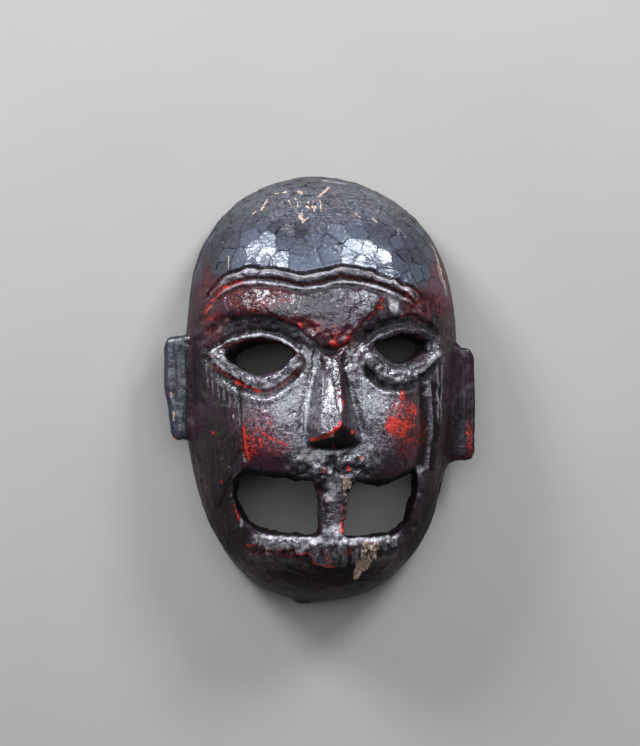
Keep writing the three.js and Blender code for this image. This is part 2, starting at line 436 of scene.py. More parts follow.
# %% [markdown]
# ### Adze facets
#
# The crown was dressed with an adze and never sanded. Each stroke left one flat facet, about 9 mm across,
# that meets its neighbours in a crisp edge. That is what a convex shape cut by many planes looks like, so
# that is how it is made: planes are laid on the surface at scattered places, each tipped a little, and
# every point is cut down to the lowest plane above it. Broader and softer facets of the same kind cover the
# cheeks, jaw and walls.
#
# Just over the brow, to the left and the right, hands have rubbed the crown. There the facets lean less,
# and are trued towards one slant, so that a few of them flash together.

# %% The broad form under the facets
broad = relax(points, edges, 30, 0.5 * (points[:, 2] > BACK_RIM))
broad_normals = relax(normals, edges, 30)
broad_normals /= np.linalg.norm(broad_normals, axis=1)[:, None].clip(1e-9)

# %% Where hands have rubbed the crown
RUBBED = (  # the middle and half size of each place, and the way its facets look
    ((-38.5, 83.5), (13, 9), (-0.371, 0.374, 0.850)),
    ((24, 85), (16, 8.5), (0.215, 0.385, 0.898)),
)
rubbed, rubbed_way = np.zeros(count), np.zeros((count, 3))
for middle, half, way in RUBBED:
    near, far = within(middle, half)
    rubbed[near] = np.maximum(rubbed[near], ramp(far, 1.35, 0.95))
    rubbed_way[near] = way
print("rubbed points:", int((rubbed > 0.5).sum()))


# %% Lay the planes
STEADIED = 0.6  # how much less a rubbed facet leans
TURNED = 0.8  # how far a rubbed facet is turned to the rubbed slant
FEWEST_TRIES = 4000


def scatter(candidates, spacing, seed):
    """Numbers of points picked at random from the candidates, no two nearer than `spacing` millimetres."""
    rng = np.random.default_rng(seed)
    order = rng.permutation(candidates)
    order = order[: max(FEWEST_TRIES, len(order) // 6)]
    chosen = np.empty((0, 3))
    numbers = []
    for number in order:
        gap = spacing * rng.uniform(0.9, 1.1)
        if not len(chosen) or ((chosen - points[number]) ** 2).sum(1).min() > gap * gap:
            chosen = np.vstack([chosen, points[number]])
            numbers.append(number)
    return np.array(numbers)


def facet_ways(centres, tilt, seed):
    """The way each facet looks: the surface's own way with a chance lean, trued where hands have rubbed."""
    lean = np.random.default_rng(seed).normal(0.0, math.radians(tilt), (len(centres), 3))
    trued, own = rubbed[centres][:, None], broad_normals[centres]
    faces = own + (1.0 - STEADIED * trued) * lean + TURNED * trued * (rubbed_way[centres] - own)
    return faces / np.linalg.norm(faces, axis=1)[:, None]


# %% Cut the surface down to the planes
NEARNESS = 0.013  # per mm: how much a nearer plane is preferred, which keeps facets whole in hollow forms
PLANE_REACH = 2.2  # in spacings: planes further off than this don't count
SNAP = 0.6 * VOXEL  # mm: points nearer than this to an edge are drawn onto it
MOST_MOVE = 1.2  # mm
BATCH = 4000  # how many points are worked out together
NO_EDGE_NEAR, OUT_OF_REACH = 9.0, 99.0  # mm, larger than any real distance to an edge and height of a plane


def lowest_two(rank):
    """The numbers of the two lowest planes over each point, the lower one first."""
    two = np.argpartition(rank, 1, axis=1)[:, :2]
    return np.take_along_axis(two, np.argsort(np.take_along_axis(rank, two, 1), 1), 1)


def pick(table, columns):
    """One entry from each row of a table."""
    return np.take_along_axis(table, columns[:, None], 1)[:, 0]


def facets(weight, spacing, tilt, deepest, seed):
    """Cut planes into the surface where `weight` is above zero. Points next to an edge between two planes are
    drawn onto it. Gives each point's distance to its facet's edge, and its facet's number."""
    near = np.flatnonzero(weight > 0.01)
    centres = scatter(near, spacing, seed)
    faces, middles = facet_ways(centres, tilt, seed + 1), broad[centres]
    border, number = np.full(count, NO_EDGE_NEAR), np.zeros(count, int)
    for part in np.array_split(near, max(1, len(near) // BATCH)):
        gap = middles[None] - broad[part][:, None]
        slope = np.einsum("pj,cj->pc", broad_normals[part], faces).clip(0.3)
        height = np.einsum("pcj,cj->pc", gap, faces) / slope
        far = (gap**2).sum(2)
        rank = np.where(far < (PLANE_REACH * spacing) ** 2, height + NEARNESS * far, OUT_OF_REACH)
        own, other = lowest_two(rank).T
        steep = [faces[which] / pick(slope, which)[:, None] for which in (own, other)]
        pull = steep[0] - steep[1] + 2.0 * NEARNESS * (middles[own] - middles[other])
        pull -= (pull * broad_normals[part]).sum(1)[:, None] * broad_normals[part]
        speed = np.linalg.norm(pull, axis=1).clip(1e-3)
        to_edge = (pick(rank, other) - pick(rank, own)) / speed
        border[part], number[part] = to_edge, own
        slide = -(pull / speed[:, None]) * np.where(to_edge < SNAP, to_edge, 0.0)[:, None]
        depth = pick(height, own) - (slide * steep[0]).sum(1)
        flat = broad[part] + slide + broad_normals[part] * depth.clip(-deepest, deepest)[:, None]
        move = flat - points[part]
        move *= np.minimum(1.0, MOST_MOVE / np.linalg.norm(move, axis=1).clip(1e-6))[:, None]
        shift[part] += weight[part][:, None] * move
    print(f"{len(centres)} facets about {spacing} mm apart")
    return border, number


# %% Where the crown ends
BROW = ((-78, 52), (-69, 65), (-61, 70), (-52, 73), (-39, 73), (-27, 71), (-17, 69), (-7, 70.5), (5, 73.5),
        (15, 73.5), (28, 70.5), (40, 66), (54, 60), (64, 50))


def above_brow(rise):
    """How far each point is above the brow line, in millimetres, with the line moved up by `rise`."""
    line = curve_through(BROW)
    return plan[:, 1] - rise - np.interp(plan[:, 0], line[:, 0], line[:, 1], left=30.0, right=30.0)


STEP_RISE = 5.5  # mm: the crown's lower edge stands this far above the brow line
TEMPLE_FADE = 22.0  # how much softer that edge is past the brow's ends, where the crown meets the walls

temple = ramp(np.abs(points[:, 0]), 68.0, 79.0)
off_floor = ramp(points[:, 2], 3.0, 10.0)
rise = above_brow(STEP_RISE) - temple * (26.0 + 14.0 * noise(points, 16.0, 19))
crown = outside * ramp(rise / (1.0 + TEMPLE_FADE * temple), -0.8, 0.8) * off_floor
top = crown * ramp(points[:, 1], 98.0, 116.0)
lower = outside * (1.0 - ramp(above_brow(STEP_RISE), -6.0, 0.0)) * off_floor
walls = lower * ramp(np.hypot(points[:, 0] / 78.0, points[:, 1] / 125.0), 0.72, 0.85)

# %% Cut the facets of the crown and the walls
EAR_FOOT = 90  # mm from the centre line, where the ear slabs start

facet_edge, facet_number = facets(crown, spacing=9.2, tilt=2.6, deepest=0.5, seed=21)
facet_tone = np.random.default_rng(5).uniform(0.0, 1.0, facet_number.max() + 1)[facet_number]
before_ears = walls * (np.abs(points[:, 0]) < EAR_FOOT)
wall_edge, _ = facets(before_ears, spacing=15.0, tilt=1.8, deepest=0.45, seed=31)

# %% [markdown]
# ### The brow line
#
# The crown stops at a small step over the brow. Under it the carver left a raised bead with a dark cut on
# each side, and then the lip of the forehead. One line serves for all of them, moved up or down.


# %% Brow bead and its cuts
def moved(corners, up, right=0.0):
    return [(x + right, y + up) for x, y in corners]


BEAD = BROW[1:-1]  # the bead stops short of the brow's two ends

step(moved(BROW, 5.0), 1.1, 0.6, 7.0, ends=0.03)
groove(moved(BROW, 4.7), 0.6, 1.6, ends=0.03)
bead(moved(BEAD, 2.2), 1.1, 0.8, ends=0.04)
bead(moved(BEAD, -0.9), 0.9, 0.3, ends=0.04)
groove(moved(BROW, -3.2), 0.8, 1.5, ends=0.05)
bead(moved(BEAD, -5.6), 1.0, 0.7, ends=0.06)
groove(moved(BROW, -7.8), 0.8, 0.8, ends=0.1)

# %% [markdown]
# ### Forehead, eyes and cheeks
#
# The frown stands out as one heavy lobe from temple to temple, with a notch over each eye and a point at
# the root of the nose. The lids are thick, and lumpy with old lacquer, and a deep cut parts each of them
# from the cheek.

# %% Forehead lobe
LOBE_LEFT = ((-79, 38), (-72, 42), (-58, 47), (-42, 48), (-30, 45), (-20, 40), (-12, 34), (-3, 27))
LOBE_RIGHT = ((6, 27), (12, 35), (20, 43), (28, 50), (34, 60))
RIGHT_BROW = ((26, 41), (36, 46), (48, 48), (60, 46), (70, 38))
step(LOBE_LEFT, 2.4, 0.9, 8.0, ragged=2.2)
step(LOBE_RIGHT, 2.2, 0.8, 7.0, ragged=1.2)
step(RIGHT_BROW, 1.8, 1.0, 6.0, ragged=2.0)
groove(moved(LOBE_LEFT, -2.6), 1.6, 0.7)
scoop((44, 54), (8, 7), 1.6, 20)
scoop((56, 52), (11, 10), 1.0, 10)
scoop((36, 73.5), (7, 5), 1.3, -15)
scoop((-38.5, 81.5), (4.6, 5), 0.9, 10)
groove(((-20, 41), (-16, 43), (-9, 37)), 2.0, 1.8)
swell((-62, 54), (14, 7), 0.8, 8)
swell((-14, 52), (12, 9), 0.7)
swell((14, 56), (10, 10), 0.6)


# %% Chips and dents
def chips(zone, number, sizes, depths, seed):
    """Scatter small chips where `zone` is above a half."""
    rng = np.random.default_rng(seed)
    places = np.flatnonzero(zone > 0.5)
    for spot in rng.choice(places, number):
        size = rng.uniform(*sizes)
        scoop(plan[spot], (size, size * rng.uniform(0.6, 1.6)), rng.uniform(*depths), rng.uniform(0.0, 180.0))


front = outside * (1.0 - crown) * ramp(outward, 0.5, 0.75) * (points[:, 2] > 40)
forehead_only = front * (points[:, 1] > 28)
under_frown = front * ramp(np.abs(above_brow(0.0) + 33.0), 9.0, 5.0)
chips(front, 420, (0.9, 2.8), (0.15, 0.5), 101)
chips(forehead_only, 90, (2.0, 5.0), (0.2, 0.6), 103)
chips(under_frown, 110, (1.2, 3.0), (0.4, 1.0), 107)

# %% Eyes
LEFT_UPPER = ((-76, 23), (-62, 31.5), (-45, 34.5), (-28, 31), (-18, 23))
LEFT_LOWER = ((-76, 23), (-60, 11.5), (-43, 4.5), (-28, 10), (-17, 21))
RIGHT_UPPER = ((19, 24), (28, 33), (48, 39.5), (64, 37), (72, 29))
RIGHT_LOWER = ((19, 22), (27, 13), (41, 8.5), (58, 12.5), (72, 27))
groove(moved(LEFT_UPPER, 3.6), 1.4, 1.2)
bead(moved(LEFT_UPPER, 0.4), 1.5, 0.8)
groove(moved(RIGHT_UPPER, 3.8), 1.5, 1.0)
bead(moved(RIGHT_UPPER, 0.2), 1.8, 0.7)
groove(moved(LEFT_LOWER, -5.0), 1.8, 1.7)
groove(((-70, 21.5), (-61, 15.5), (-52, 10.5)), 0.8, 1.4, ends=0.1)
bead(((-67, 22), (-59, 17), (-50, 12)), 0.8, 0.9, ends=0.15)
scoop((62, 29), (5, 4), 2.6, 10)
groove(moved(RIGHT_LOWER, -5.4), 2.0, 2.0)
bead(moved(RIGHT_LOWER, 0.0), 4.0, 0.9)
bead(moved(LEFT_LOWER, -10.2), 2.0, 1.2, ends=0.22)
bead(moved(RIGHT_LOWER, -10.0), 2.2, 0.8, ends=0.28)

# %% Nose and cheeks
scoop((-9, 20), (3.5, 8), 1.6)
scoop((10, 20), (3.5, 8), 1.8)
scoop((-1, 25.5), (7, 3), 1.8)
groove(((-12, 29), (-6, 27), (0, 25.5), (6, 27), (13, 30)), 1.8, 1.6)
swell((1, 19), (4, 5), 0.8)
bead(((-6, 15), (-8, 0), (-11, -14), (-14, -26)), 3.2, 2.4, ends=0.12)
groove(((-11, 18), (-14, 4), (-17.5, -10), (-19, -26)), 1.6, 1.0, ends=0.15)
bead(((-9, 16), (-12.5, 4), (-15.5, -12), (-16, -26)), 0.9, 0.9, ends=0.2)
groove(((9, 18), (12, 0), (17, -16), (22, -30)), 2.0, 0.8, ends=0.15)
bead(((14, 14), (17, -2), (23, -20), (27, -30)), 2.0, 0.6, ends=0.2)
groove(((3.0, 13), (3.4, 0), (4.2, -12)), 0.7, 0.7, ends=0.1)
groove(((-1.4, 12), (-1.2, 0), (-2.2, -8)), 1.4, 0.35, ends=0.3)
CRACK = ((-56, 10), (-56, 2), (-55.5, -8), (-55.2, -20), (-54, -34), (-51.5, -44))
step(CRACK[:1:-1], -1.2, 0.6, 9.0, ends=0.2)
groove(CRACK, 0.8, 2.6, ends=0.04)
RIGHT_FOLD = ((63, 8), (64, -8), (64.5, -24), (63, -40), (62, -52))
groove(moved(RIGHT_FOLD, 0, -4.0), 2.6, 2.2)
bead(RIGHT_FOLD, 1.3, 1.6)
groove(moved(RIGHT_FOLD, 0, 3.4), 1.6, 1.2)
bead(moved(RIGHT_FOLD, 0, 7.0), 1.4, 0.9)
groove(((34, -11), (37, -12.5), (39.5, -13.5)), 0.7, 0.5)


# %% Upright cuts behind the right eye
def upright(x, high, low, bow=0.6, back=0.4):
    """A line from top to bottom that bows a little to the right on its way."""
    return (x, high), (x + bow, (high + low) / 2), (x - back, low)


for x, high, low in ((68.5, 34, -12), (72, 26, -34), (75.5, 12, -22)):
    groove(upright(x, high, low, 0.8), 1.2, 1.2, ends=0.15)

# %% Lips, post and chin
LEDGE = ((-52, -96), (-40, -99), (-24, -99.5), (-12, -102), (-6, -107.5), (7, -109), (18, -106), (26, -100),
         (40, -98), (52, -93))
LIP_LUMPS = (  # middle, half size, height
    ((-18, -44), (8, 4), 1.4), ((-8, -49), (6, 4), 1.8), ((4, -43), (6, 5), 2.0), ((14, -50), (6, 4), 1.8),
    ((24, -45), (8, 4), 1.2), ((-2, -53), (5, 3), 1.6), ((8, -56), (4, 4), 1.4), ((2, -62), (4, 5), 1.0),
    ((5, -74), (3, 6), 0.8), ((-7, -56), (4, 5), 1.8), ((12, -56), (4, 5), 1.6),
)
LIP_PITS = (  # middle, half size, depth
    ((-11, -47), (3, 2), 1.2), ((-2, -47.5), (3, 2), 1.4), ((9, -46), (3, 2.5), 1.4),
    ((18, -47), (3, 2), 1.1), ((-3, -58), (2, 2.5), 1.0), ((11, -62), (2, 3), 1.2),
    ((0, -70), (2, 4), 0.9), ((8, -82), (2, 3), 0.9),
)
step(LEDGE, 3.4, 0.6, 5.0, ragged=1.4)
for centre, size, height in LIP_LUMPS:
    swell(centre, size, height)
for centre, size, depth in LIP_PITS:
    scoop(centre, size, depth, 20)
groove(((-10, -45), (-6, -42), (-2, -41)), 0.9, 1.2)
groove(((-40, -113), (-20, -115), (0, -115.5), (18, -114), (36, -108)), 2.6, 0.8)
bead(((-46, -92), (-20, -94), (0, -95), (25, -94), (44, -92)), 2.4, 0.9)
swell((10, -122), (10, 5), 0.8)

# %% [markdown]
# ### Crusts, chips and gouges
#
# The lids, lips, post and ears carry thick, gnawed lacquer: lumps from one to six millimetres, with pits
# between them. How crusted a place is gets stored, because the paint needs it too.

# %% Where the crust is
crust = np.zeros(count)


def thicken(layer, near, amount):
    layer[near] = np.maximum(layer[near], amount)


def stripe(layer, corners, width, strength=1.0, ends=0.06, height_over=20.0):
    """Paint a band along a line."""
    near, off, run = along(corners, width * 2.0, height_over)
    thicken(layer, near, strength * ramp(np.abs(off), width * 1.4, width * 0.6) * taper(run, ends))


def dab(layer, centre, size, strength=1.0, turn=0.0):
    """Paint an oval with a soft edge."""
    near, far = within(centre, size, turn)
    thicken(layer, near, strength * ramp(far, 1.35, 0.55))


stripe(crust, LEFT_LOWER, 5.0, 0.9)
stripe(crust, LEFT_UPPER, 2.5, 0.55)
stripe(crust, RIGHT_LOWER, 8.0, 1.0)
stripe(crust, RIGHT_UPPER, 3.5, 0.7)
dab(crust, (3, -46), (27, 9), 1.0)
dab(crust, (5, -70), (11, 20), 1.0)
stripe(crust, ((-50, -96), (-20, -97.5), (5, -98), (30, -97.5), (50, -93)), 8.5, 1.0)
stripe(crust, moved(BROW, 0.5), 3.0, 0.75)
stripe(crust, moved(BROW, -5.6), 1.2, 0.5)
dab(crust, (44, 54), (5, 8), 0.6)
stripe(crust, moved(LOBE_LEFT, -4.5), 4.5, 0.7)
stripe(crust, moved(RIGHT_BROW, -1.0), 5.0, 0.5)
dab(crust, (-90, 4), (10, 34), 0.15)
dab(crust, (90, -6), (9, 38), 0.15)
dab(crust, (-58, -68), (4, 20), 0.35)
dab(crust, (59, -54), (4, 8), 0.6)
dab(crust, (57, -72), (4, 16), 0.35)

# %% Where the crust is thick and broken into lumps
gnawed = np.zeros(count)
dab(gnawed, (3, -47), (26, 9), 1.0)
dab(gnawed, (5, -70), (9, 20), 0.75)
stripe(gnawed, ((-50, -96), (-20, -97.5), (5, -98), (30, -97.5), (50, -93)), 6.0, 0.7)
dab(gnawed, (40, 9), (22, 9), 0.9)
stripe(gnawed, LEFT_LOWER, 4.0, 0.35)
crust = relax(crust * outside, edges, 3)

# %% Lumps of crust, and the cracks between them
LOWER_LIP = -86.0  # mm up the face: below this, upright cuts split the lip, so its lumps are tall and narrow

chin_side = points[:, 1] < LOWER_LIP
lumpy = np.where(chin_side, rough_noise(points, (3.6, 12.0, 7.0), 45), rough_noise(points, 6.5, 45))
crazed = np.where(chin_side, noise(points, (3.4, 13.0, 7.0), 46), noise(points, 6.0, 46))
cracks = gnawed * ramp(np.abs(crazed), 0.17, 0.02)
lumps = rough_noise(points, 5.4, 41)
fine = rough_noise(points, 2.2, 43, layers=2)
pits = ramp(rough_noise(points, 2.6, 47, layers=2), -0.25, -0.75)
lift += crust * (1.7 * lumps + 0.3 * fine - 1.1 * pits)
lift += crust * (2.3 + 0.9 * chin_side) * gnawed * lumpy - 2.2 * crust * cracks
print("share of crusted points:", round(crust.mean(), 3))

# %% The broken rim of the mouth
in_mouth = (np.abs(points[:, 0]) < 66) & (points[:, 1] > -99) & (points[:, 1] < -40) & (points[:, 2] > 50)
rim = relax(in_mouth * ramp(outward, 0.85, 0.4) * (block_depth > 0.86), edges, 2)
lift += rim * (1.3 * rough_noise(points, (6.0, 6.0, 12.0), 73) - 0.5 * pits)
lift += rim * 2.6 * ramp(block_depth, 0.97, 0.88) * ramp(np.abs(points[:, 0] - 3.0), 14.0, 22.0)

# %% Grain: upright on the walls, the ears and the face, and level on the crown's top
grain = noise(points, (1.8, 26.0, 1.8), 51) + 0.5 * noise(points, (1.2, 14.0, 1.2), 53)
sides = outside * ramp(np.abs(points[:, 0]), 52.0, 66.0)
lift += 0.2 * sides * (1.0 - 0.8 * crown) * grain
lift += outside * (1.0 - crown) * (0.18 * rough_noise(points, 6.0, 57) + 0.2 * fine)
top_grain = noise(points, (22.0, 1.6, 2.2), 59)
lift += 0.3 * top * top_grain
ears = outside * ramp(np.abs(points[:, 0]), 86.0, 90.0)
lift += 0.35 * ears * noise(points, (2.0, 26.0, 6.0), 61)

# %% Cuts in the ear slabs and in the edge of the lower lip
EAR_CUTS = (  # x, top, bottom
    (-91.4, 30, -16), (-95, 24, -8), (-88.5, 26, -26), (92, 22, -34), (95, 10, -36), (89.5, 18, -30),
)
TEETH = (  # x, top, bottom, half width
    (-46, -96, -103, 1.2), (-41, -95, -104, 1.0), (-35, -95, -102, 1.4), (-29, -96, -105, 1.0),
    (-22, -96, -103, 1.3), (-14, -97, -104, 1.0), (7, -98, -109, 1.3), (13, -98, -110, 1.2),
    (19, -97, -108, 1.5), (33, -95, -106, 1.2), (39, -94, -102, 1.2), (45, -93, -100, 1.1),
)
for x, high, low in EAR_CUTS:
    groove(upright(x, high, low, 0.5, 0.3), 0.9, 0.8, height_over=8.0)
for x, high, low, width in TEETH:
    groove(upright(x, high, low), width, 1.7, ends=0.2)

# %% The split at the right of the lower lip, and two more chips
scoop((26.5, -99), (6, 7), 1.5)
scoop((22, -109), (4, 9), 1.5, -20)
scoop((-58, -64), (2.5, 8), 1.3, 0)
scoop((-16.5, 108.5), (2.4, 4.2), 0.6, 20)

# %% Gouge marks in the hollow
GOUGE_RIDGE = 0.9  # mm: how far the ridges between gouge marks stand up

gouged = inside * ramp(points[:, 2], 3.0, 9.0)
gouge_edge, _ = facets(gouged, spacing=14.0, tilt=4.0, deepest=0.6, seed=71)
lift += GOUGE_RIDGE * gouged * ramp(gouge_edge, 2.4, 0.0)

# %% Take the cuts
DEEPEST_CUT, HIGHEST_LUMP = -4.0, 3.0  # mm

off_rim = ramp(points[:, 2], 0.8, 4.0)  # the back rim stays flat on the floor
lift = np.clip(lift * off_rim, DEEPEST_CUT, HIGHEST_LUMP)
shift *= off_rim[:, None]
carved = points + normals * lift[:, None] + shift
carved[:, 2] = carved[:, 2].clip(0.0)
write_points(mesh, carved)
print("deepest cut and highest lump in mm:", round(lift.min(), 2), round(lift.max(), 2))

# %% [markdown]
# ## Wear
#
# Hands rub the high edges first, and the hollows are darkened as painted shade. Both come from how the
# finished surface bends: a point that stands above the mean of its neighbours is an edge, and one that lies
# below is a hollow.

# %% Edges and hollows
points, normals = read_points(mesh), read_normals(mesh)


def bend(rounds):
    """How far each point stands above the relaxed surface, in millimetres."""
    return ((points - relax(points, edges, rounds)) * normals).sum(1)


sharp, wide = bend(3), bend(25)
edge_wear = relax(ramp(sharp, 0.03, 0.16), edges, 1)
# Broad hollows are darkened in the material: painted shade.
hollow_shade = relax(ramp(wide, -0.1, -0.8), edges, 1)
print("share of worn edge and of darkened hollow:", round(edge_wear.mean(), 3), round(hollow_shade.mean(), 3))

# %% [markdown]
# The places where the red shows, where the wood is bare and where pale dust has settled are painted on the
# face as soft masks, and so are a painted sheen on the cheeks and the nose, painted highlights on the ridges
# and painted shade in the cuts. The material breaks them up into flakes and specks. Two more masks say where
# handling has polished the lacquer and where it has gone dull.

# %% Empty masks
red, bare, dust_and_sheen, soot_and_shade, shine, dull, pale = (np.zeros(count) for _ in range(7))

# %% Soot and painted shade in the cuts, under the frown and under the nose
stripe(soot_and_shade, CRACK, 0.9, 1.0, ends=0.03)
stripe(soot_and_shade, moved(CRACK[:3], -0.8), 1.4, 0.7)
stripe(soot_and_shade, moved(BROW, 4.8), 0.7, 1.0, ends=0.03)
stripe(soot_and_shade, moved(BROW, -0.6), 0.9, 0.55)
stripe(soot_and_shade, moved(BROW, -3.2), 1.0, 0.9)
stripe(soot_and_shade, moved(BROW, -7.8), 1.0, 0.7)
stripe(soot_and_shade, moved(LEFT_LOWER, -5.2), 2.4, 0.9)
stripe(soot_and_shade, moved(RIGHT_LOWER, -5.6), 2.6, 1.0)
stripe(soot_and_shade, moved(LEFT_UPPER, 3.8), 1.8, 0.85)
stripe(soot_and_shade, moved(RIGHT_UPPER, 4.2), 2.4, 0.9)
# Under the frown's lobe: a band of painted shadow.
stripe(soot_and_shade, moved(LOBE_LEFT, -4.2), 4.4, 0.8)
stripe(soot_and_shade, moved(LOBE_RIGHT, -1.5, 2.5), 3.0, 0.7)
stripe(soot_and_shade, moved(LEFT_UPPER, 6.0), 3.0, 0.6)
stripe(soot_and_shade, moved(RIGHT_UPPER, 6.4), 2.6, 0.7)
stripe(soot_and_shade, moved(RIGHT_BROW, -3.0), 3.5, 0.75)
dab(soot_and_shade, (-1, 26), (10, 2.6), 1.0)
dab(soot_and_shade, (-15, 41), (5, 3), 1.0)
dab(soot_and_shade, (-2, -44), (5, 2.2), 0.7, 30)
dab(soot_and_shade, (9, -47), (3, 3.5), 0.8)
dab(soot_and_shade, (21, -49), (5, 2.5), 0.7, -20)
# The underside of the nose: painted shade.
dab(soot_and_shade, (3, -31.5), (15, 4.2), 1.0, 4)
dab(soot_and_shade, (8, -26), (6, 4), 0.9, -30)
stripe(soot_and_shade, moved(RIGHT_FOLD, 0, -4.2), 2.8, 0.9)
stripe(soot_and_shade, moved(RIGHT_FOLD, 0, 3.6), 1.6, 0.8)
stripe(soot_and_shade, moved(LEDGE, -3.2), 2.6, 0.8)

# %% Red lacquer: the right cheek
dab(red, (38.6, -20.5), (6.0, 5.0), 0.98, 35)
dab(red, (43, -22), (8, 8), 0.78, 20)
dab(red, (44, -17), (12, 15), 0.60, 20)
dab(red, (47, -22), (16, 20), 0.45, 20)
dab(red, (45, -3), (2.4, 4), 0.72)
dab(red, (52, -12), (3, 7), 0.66)
dab(red, (49, -29), (5, 3.5), 0.66)

# %% Red lacquer: the left cheek, and the edge of the crack beside it
dab(red, (-38, -32), (15, 9), 0.43)
dab(red, (-42, -18), (10, 10), 0.36)
dab(red, (-50, -34), (6, 10), 0.58)
stripe(red, moved(CRACK[3:], 0, 1.7), 1.3, 1.0, ends=0.12)
dab(red, (-44, -24), (13, 17), 0.50)
stripe(red, ((-45.6, -21.9), (-41, -25.5), (-37.2, -28), (-33, -30.2), (-26.8, -33)), 0.6, 0.86, ends=0.02)
stripe(red, ((-43.6, -26.5), (-43.4, -30), (-42.6, -34.5)), 0.7, 0.84, ends=0.02)
stripe(red, ((-38.5, -14), (-38.0, -19), (-38.6, -23)), 0.6, 0.72)

# %% Red lacquer: the nose
NOSE_EDGE = (
    (-13.4, -29.4), (-9.5, -28.6), (-6.5, -27.4), (-3.0, -26.6), (-1.0, -24.6), (2.0, -21.8), (4.6, -18),
)
stripe(red, NOSE_EDGE, 1.4, 0.88, ends=0.02)
stripe(red, ((3.2, 11), (3.6, 0), (4.4, -12)), 0.45, 0.74, ends=0.02)
stripe(red, ((4.4, -12), (6.4, -9.5), (6.0, -4)), 0.5, 0.72, ends=0.02)
dab(red, (11.5, -24.5), (1.3, 1.6), 0.9)

# %% Red lacquer: brow, lids and forehead
stripe(red, moved(BROW, 3.4), 0.7, 0.38)
stripe(red, moved(BROW, -2.6), 0.8, 0.46)
stripe(red, moved(BROW[:4], -3.4), 1.6, 0.62)
stripe(red, LOBE_LEFT, 1.2, 0.44)
stripe(red, LOBE_RIGHT, 1.1, 0.60)
stripe(red, moved(LEFT_UPPER, -2.2), 0.9, 0.50)
stripe(red, moved(LEFT_LOWER, -3.8), 1.2, 0.52)
stripe(red, moved(LEFT_LOWER, -5.0)[1:3], 1.4, 0.74)
dab(red, (8, 33), (7, 8), 0.42, 30)
dab(red, (2, 30), (4, 3), 0.68)
stripe(red, ((2.5, 42), (3.5, 36), (2.0, 31)), 0.7, 0.72)
dab(red, (-10, 40), (20, 6), 0.38, -20)
dab(red, (-45, 58), (26, 10), 0.40)
dab(red, (58, 55), (14, 12), 0.36)
dab(red, (-74, 60), (9, 20), 0.38)
dab(red, (-72, 45), (8, 14), 0.44)
dab(red, (73, 66), (10, 24), 0.44)

# %% Red lacquer: lips, post and small spots
stripe(red, moved(LEDGE[:6], 0.6), 1.1, 0.68)
stripe(red, moved(LEDGE[:4], -3.5), 2.2, 0.38)
stripe(red, ((9, -70), (8.6, -80), (7, -89)), 1.2, 0.74)
stripe(red, ((-59, -70), (-57, -77), (-54, -83)), 0.8, 0.66)
stripe(red, ((52, -78), (54, -68), (56, -58)), 1.2, 0.52)
RED_SPOTS = (  # x, y, half width, strength
    (13, -101, 2.0, 0.72), (-1, -66, 1.6, 0.74), (-71.6, -26, 1.0, 0.9), (-66, -56, 1.2, 0.6),
    (-19, 41, 1.6, 0.7), (11.6, -47.5, 1.3, 0.98), (-4, -48, 1.3, 0.80), (-95, -30, 1.4, 0.80),
    (46, 47, 1.2, 0.7), (32, 52, 1.6, 0.74), (19, -41, 1.3, 0.7), (1, -33.5, 1.0, 0.7),
)
for x, y, size, strength in RED_SPOTS:
    dab(red, (x, y), (size, 1.5 * size), strength, 25)
stripe(red, ((-4, -99), (-1, -103), (3, -109)), 0.7, 0.8)
dab(red, (94, -30), (2.4, 14), 0.60)
red *= (1.0 + 0.22 * noise(points, 5.0, 91)) * (1.0 + 0.15 * noise(points, 2.2, 92))


# %% Bare wood: chips near the top of the crown
def bowed(one, other, bow):
    """A line of three points that bows a little to the right half way."""
    return one, ((one[0] + other[0]) / 2 + bow, (one[1] + other[1]) / 2), other


CHIPPED = (  # from, to, width
    ((-36, 122), (-41, 114.5), 0.9), ((-32, 125.5), (-29, 126), 0.8), ((-27, 126), (-24.5, 127), 0.7),
    ((-17.5, 126.5), (-14, 124.5), 1.5), ((-18.6, 121), (-18.4, 115.5), 0.5),
    ((-13.2, 117), (-11.6, 114.8), 0.9), ((-10.2, 117), (-8, 112), 0.7), ((-8.6, 116.6), (-6.4, 113.6), 0.7),
    ((3, 129.8), (-4.8, 122.8), 1.2), ((-4.1, 120.7), (-4.0, 112.9), 0.9), ((18, 112), (20.9, 109.4), 0.9),
    ((28, 109), (31.2, 106.4), 1.1), ((-17.6, 111.4), (-15.6, 105.4), 1.9), ((-46.5, 112), (-44.5, 114), 0.6),
)
SLIVERS = (
    (-24, 121), (-22, 118), (-20, 123), (-12, 120), (-9, 121), (-7, 117), (-15, 113), (-12, 110), (-4, 117),
)
SPLAY = 117  # mm up the face: slivers above it lean one way and those below the other
for one, other, width in CHIPPED:
    stripe(bare, bowed(one, other, 0.5), 0.6 * width, 1.0, ends=0.02)
for x, y in SLIVERS:
    stripe(bare, ((x, y), (x + 0.3 * (y - SPLAY), y - 2.5)), 0.5, 1.0, ends=0.02)
    stripe(dust_and_sheen, ((x + 2, y - 1), (x + 3 + 0.2 * (y - SPLAY), y - 4.5)), 0.5, 1.0, ends=0.02)
bare *= 1.0 + 0.35 * noise(points, 3.0, 93)

# %% Bare wood: the split in the lower lip, and the top of the post
SPLITS = (  # hair cracks that run down through the bare place
    ((24, -93), (23, -100), (20.5, -110)),
    ((29.5, -94), (26.5, -102), (23.5, -110)),
    ((21, -97), (20, -103), (19, -108)),
    ((32, -95), (30, -101), (27, -106)),
)
dab(bare, (26.5, -99), (7.5, 7.5), 1.0)
dab(bare, (23.5, -107), (5.5, 8), 1.0, -20)
dab(bare, (20, -114.5), (2.6, 5.5), 1.0, -15)
dab(bare, (10, -57), (3.2, 6), 0.9)
dab(bare, (9.5, -64), (1.6, 3), 0.7)
splits = np.zeros(count)
for crack in SPLITS:
    stripe(splits, crack, 0.35, 0.6)
bare *= 1.0 - splits

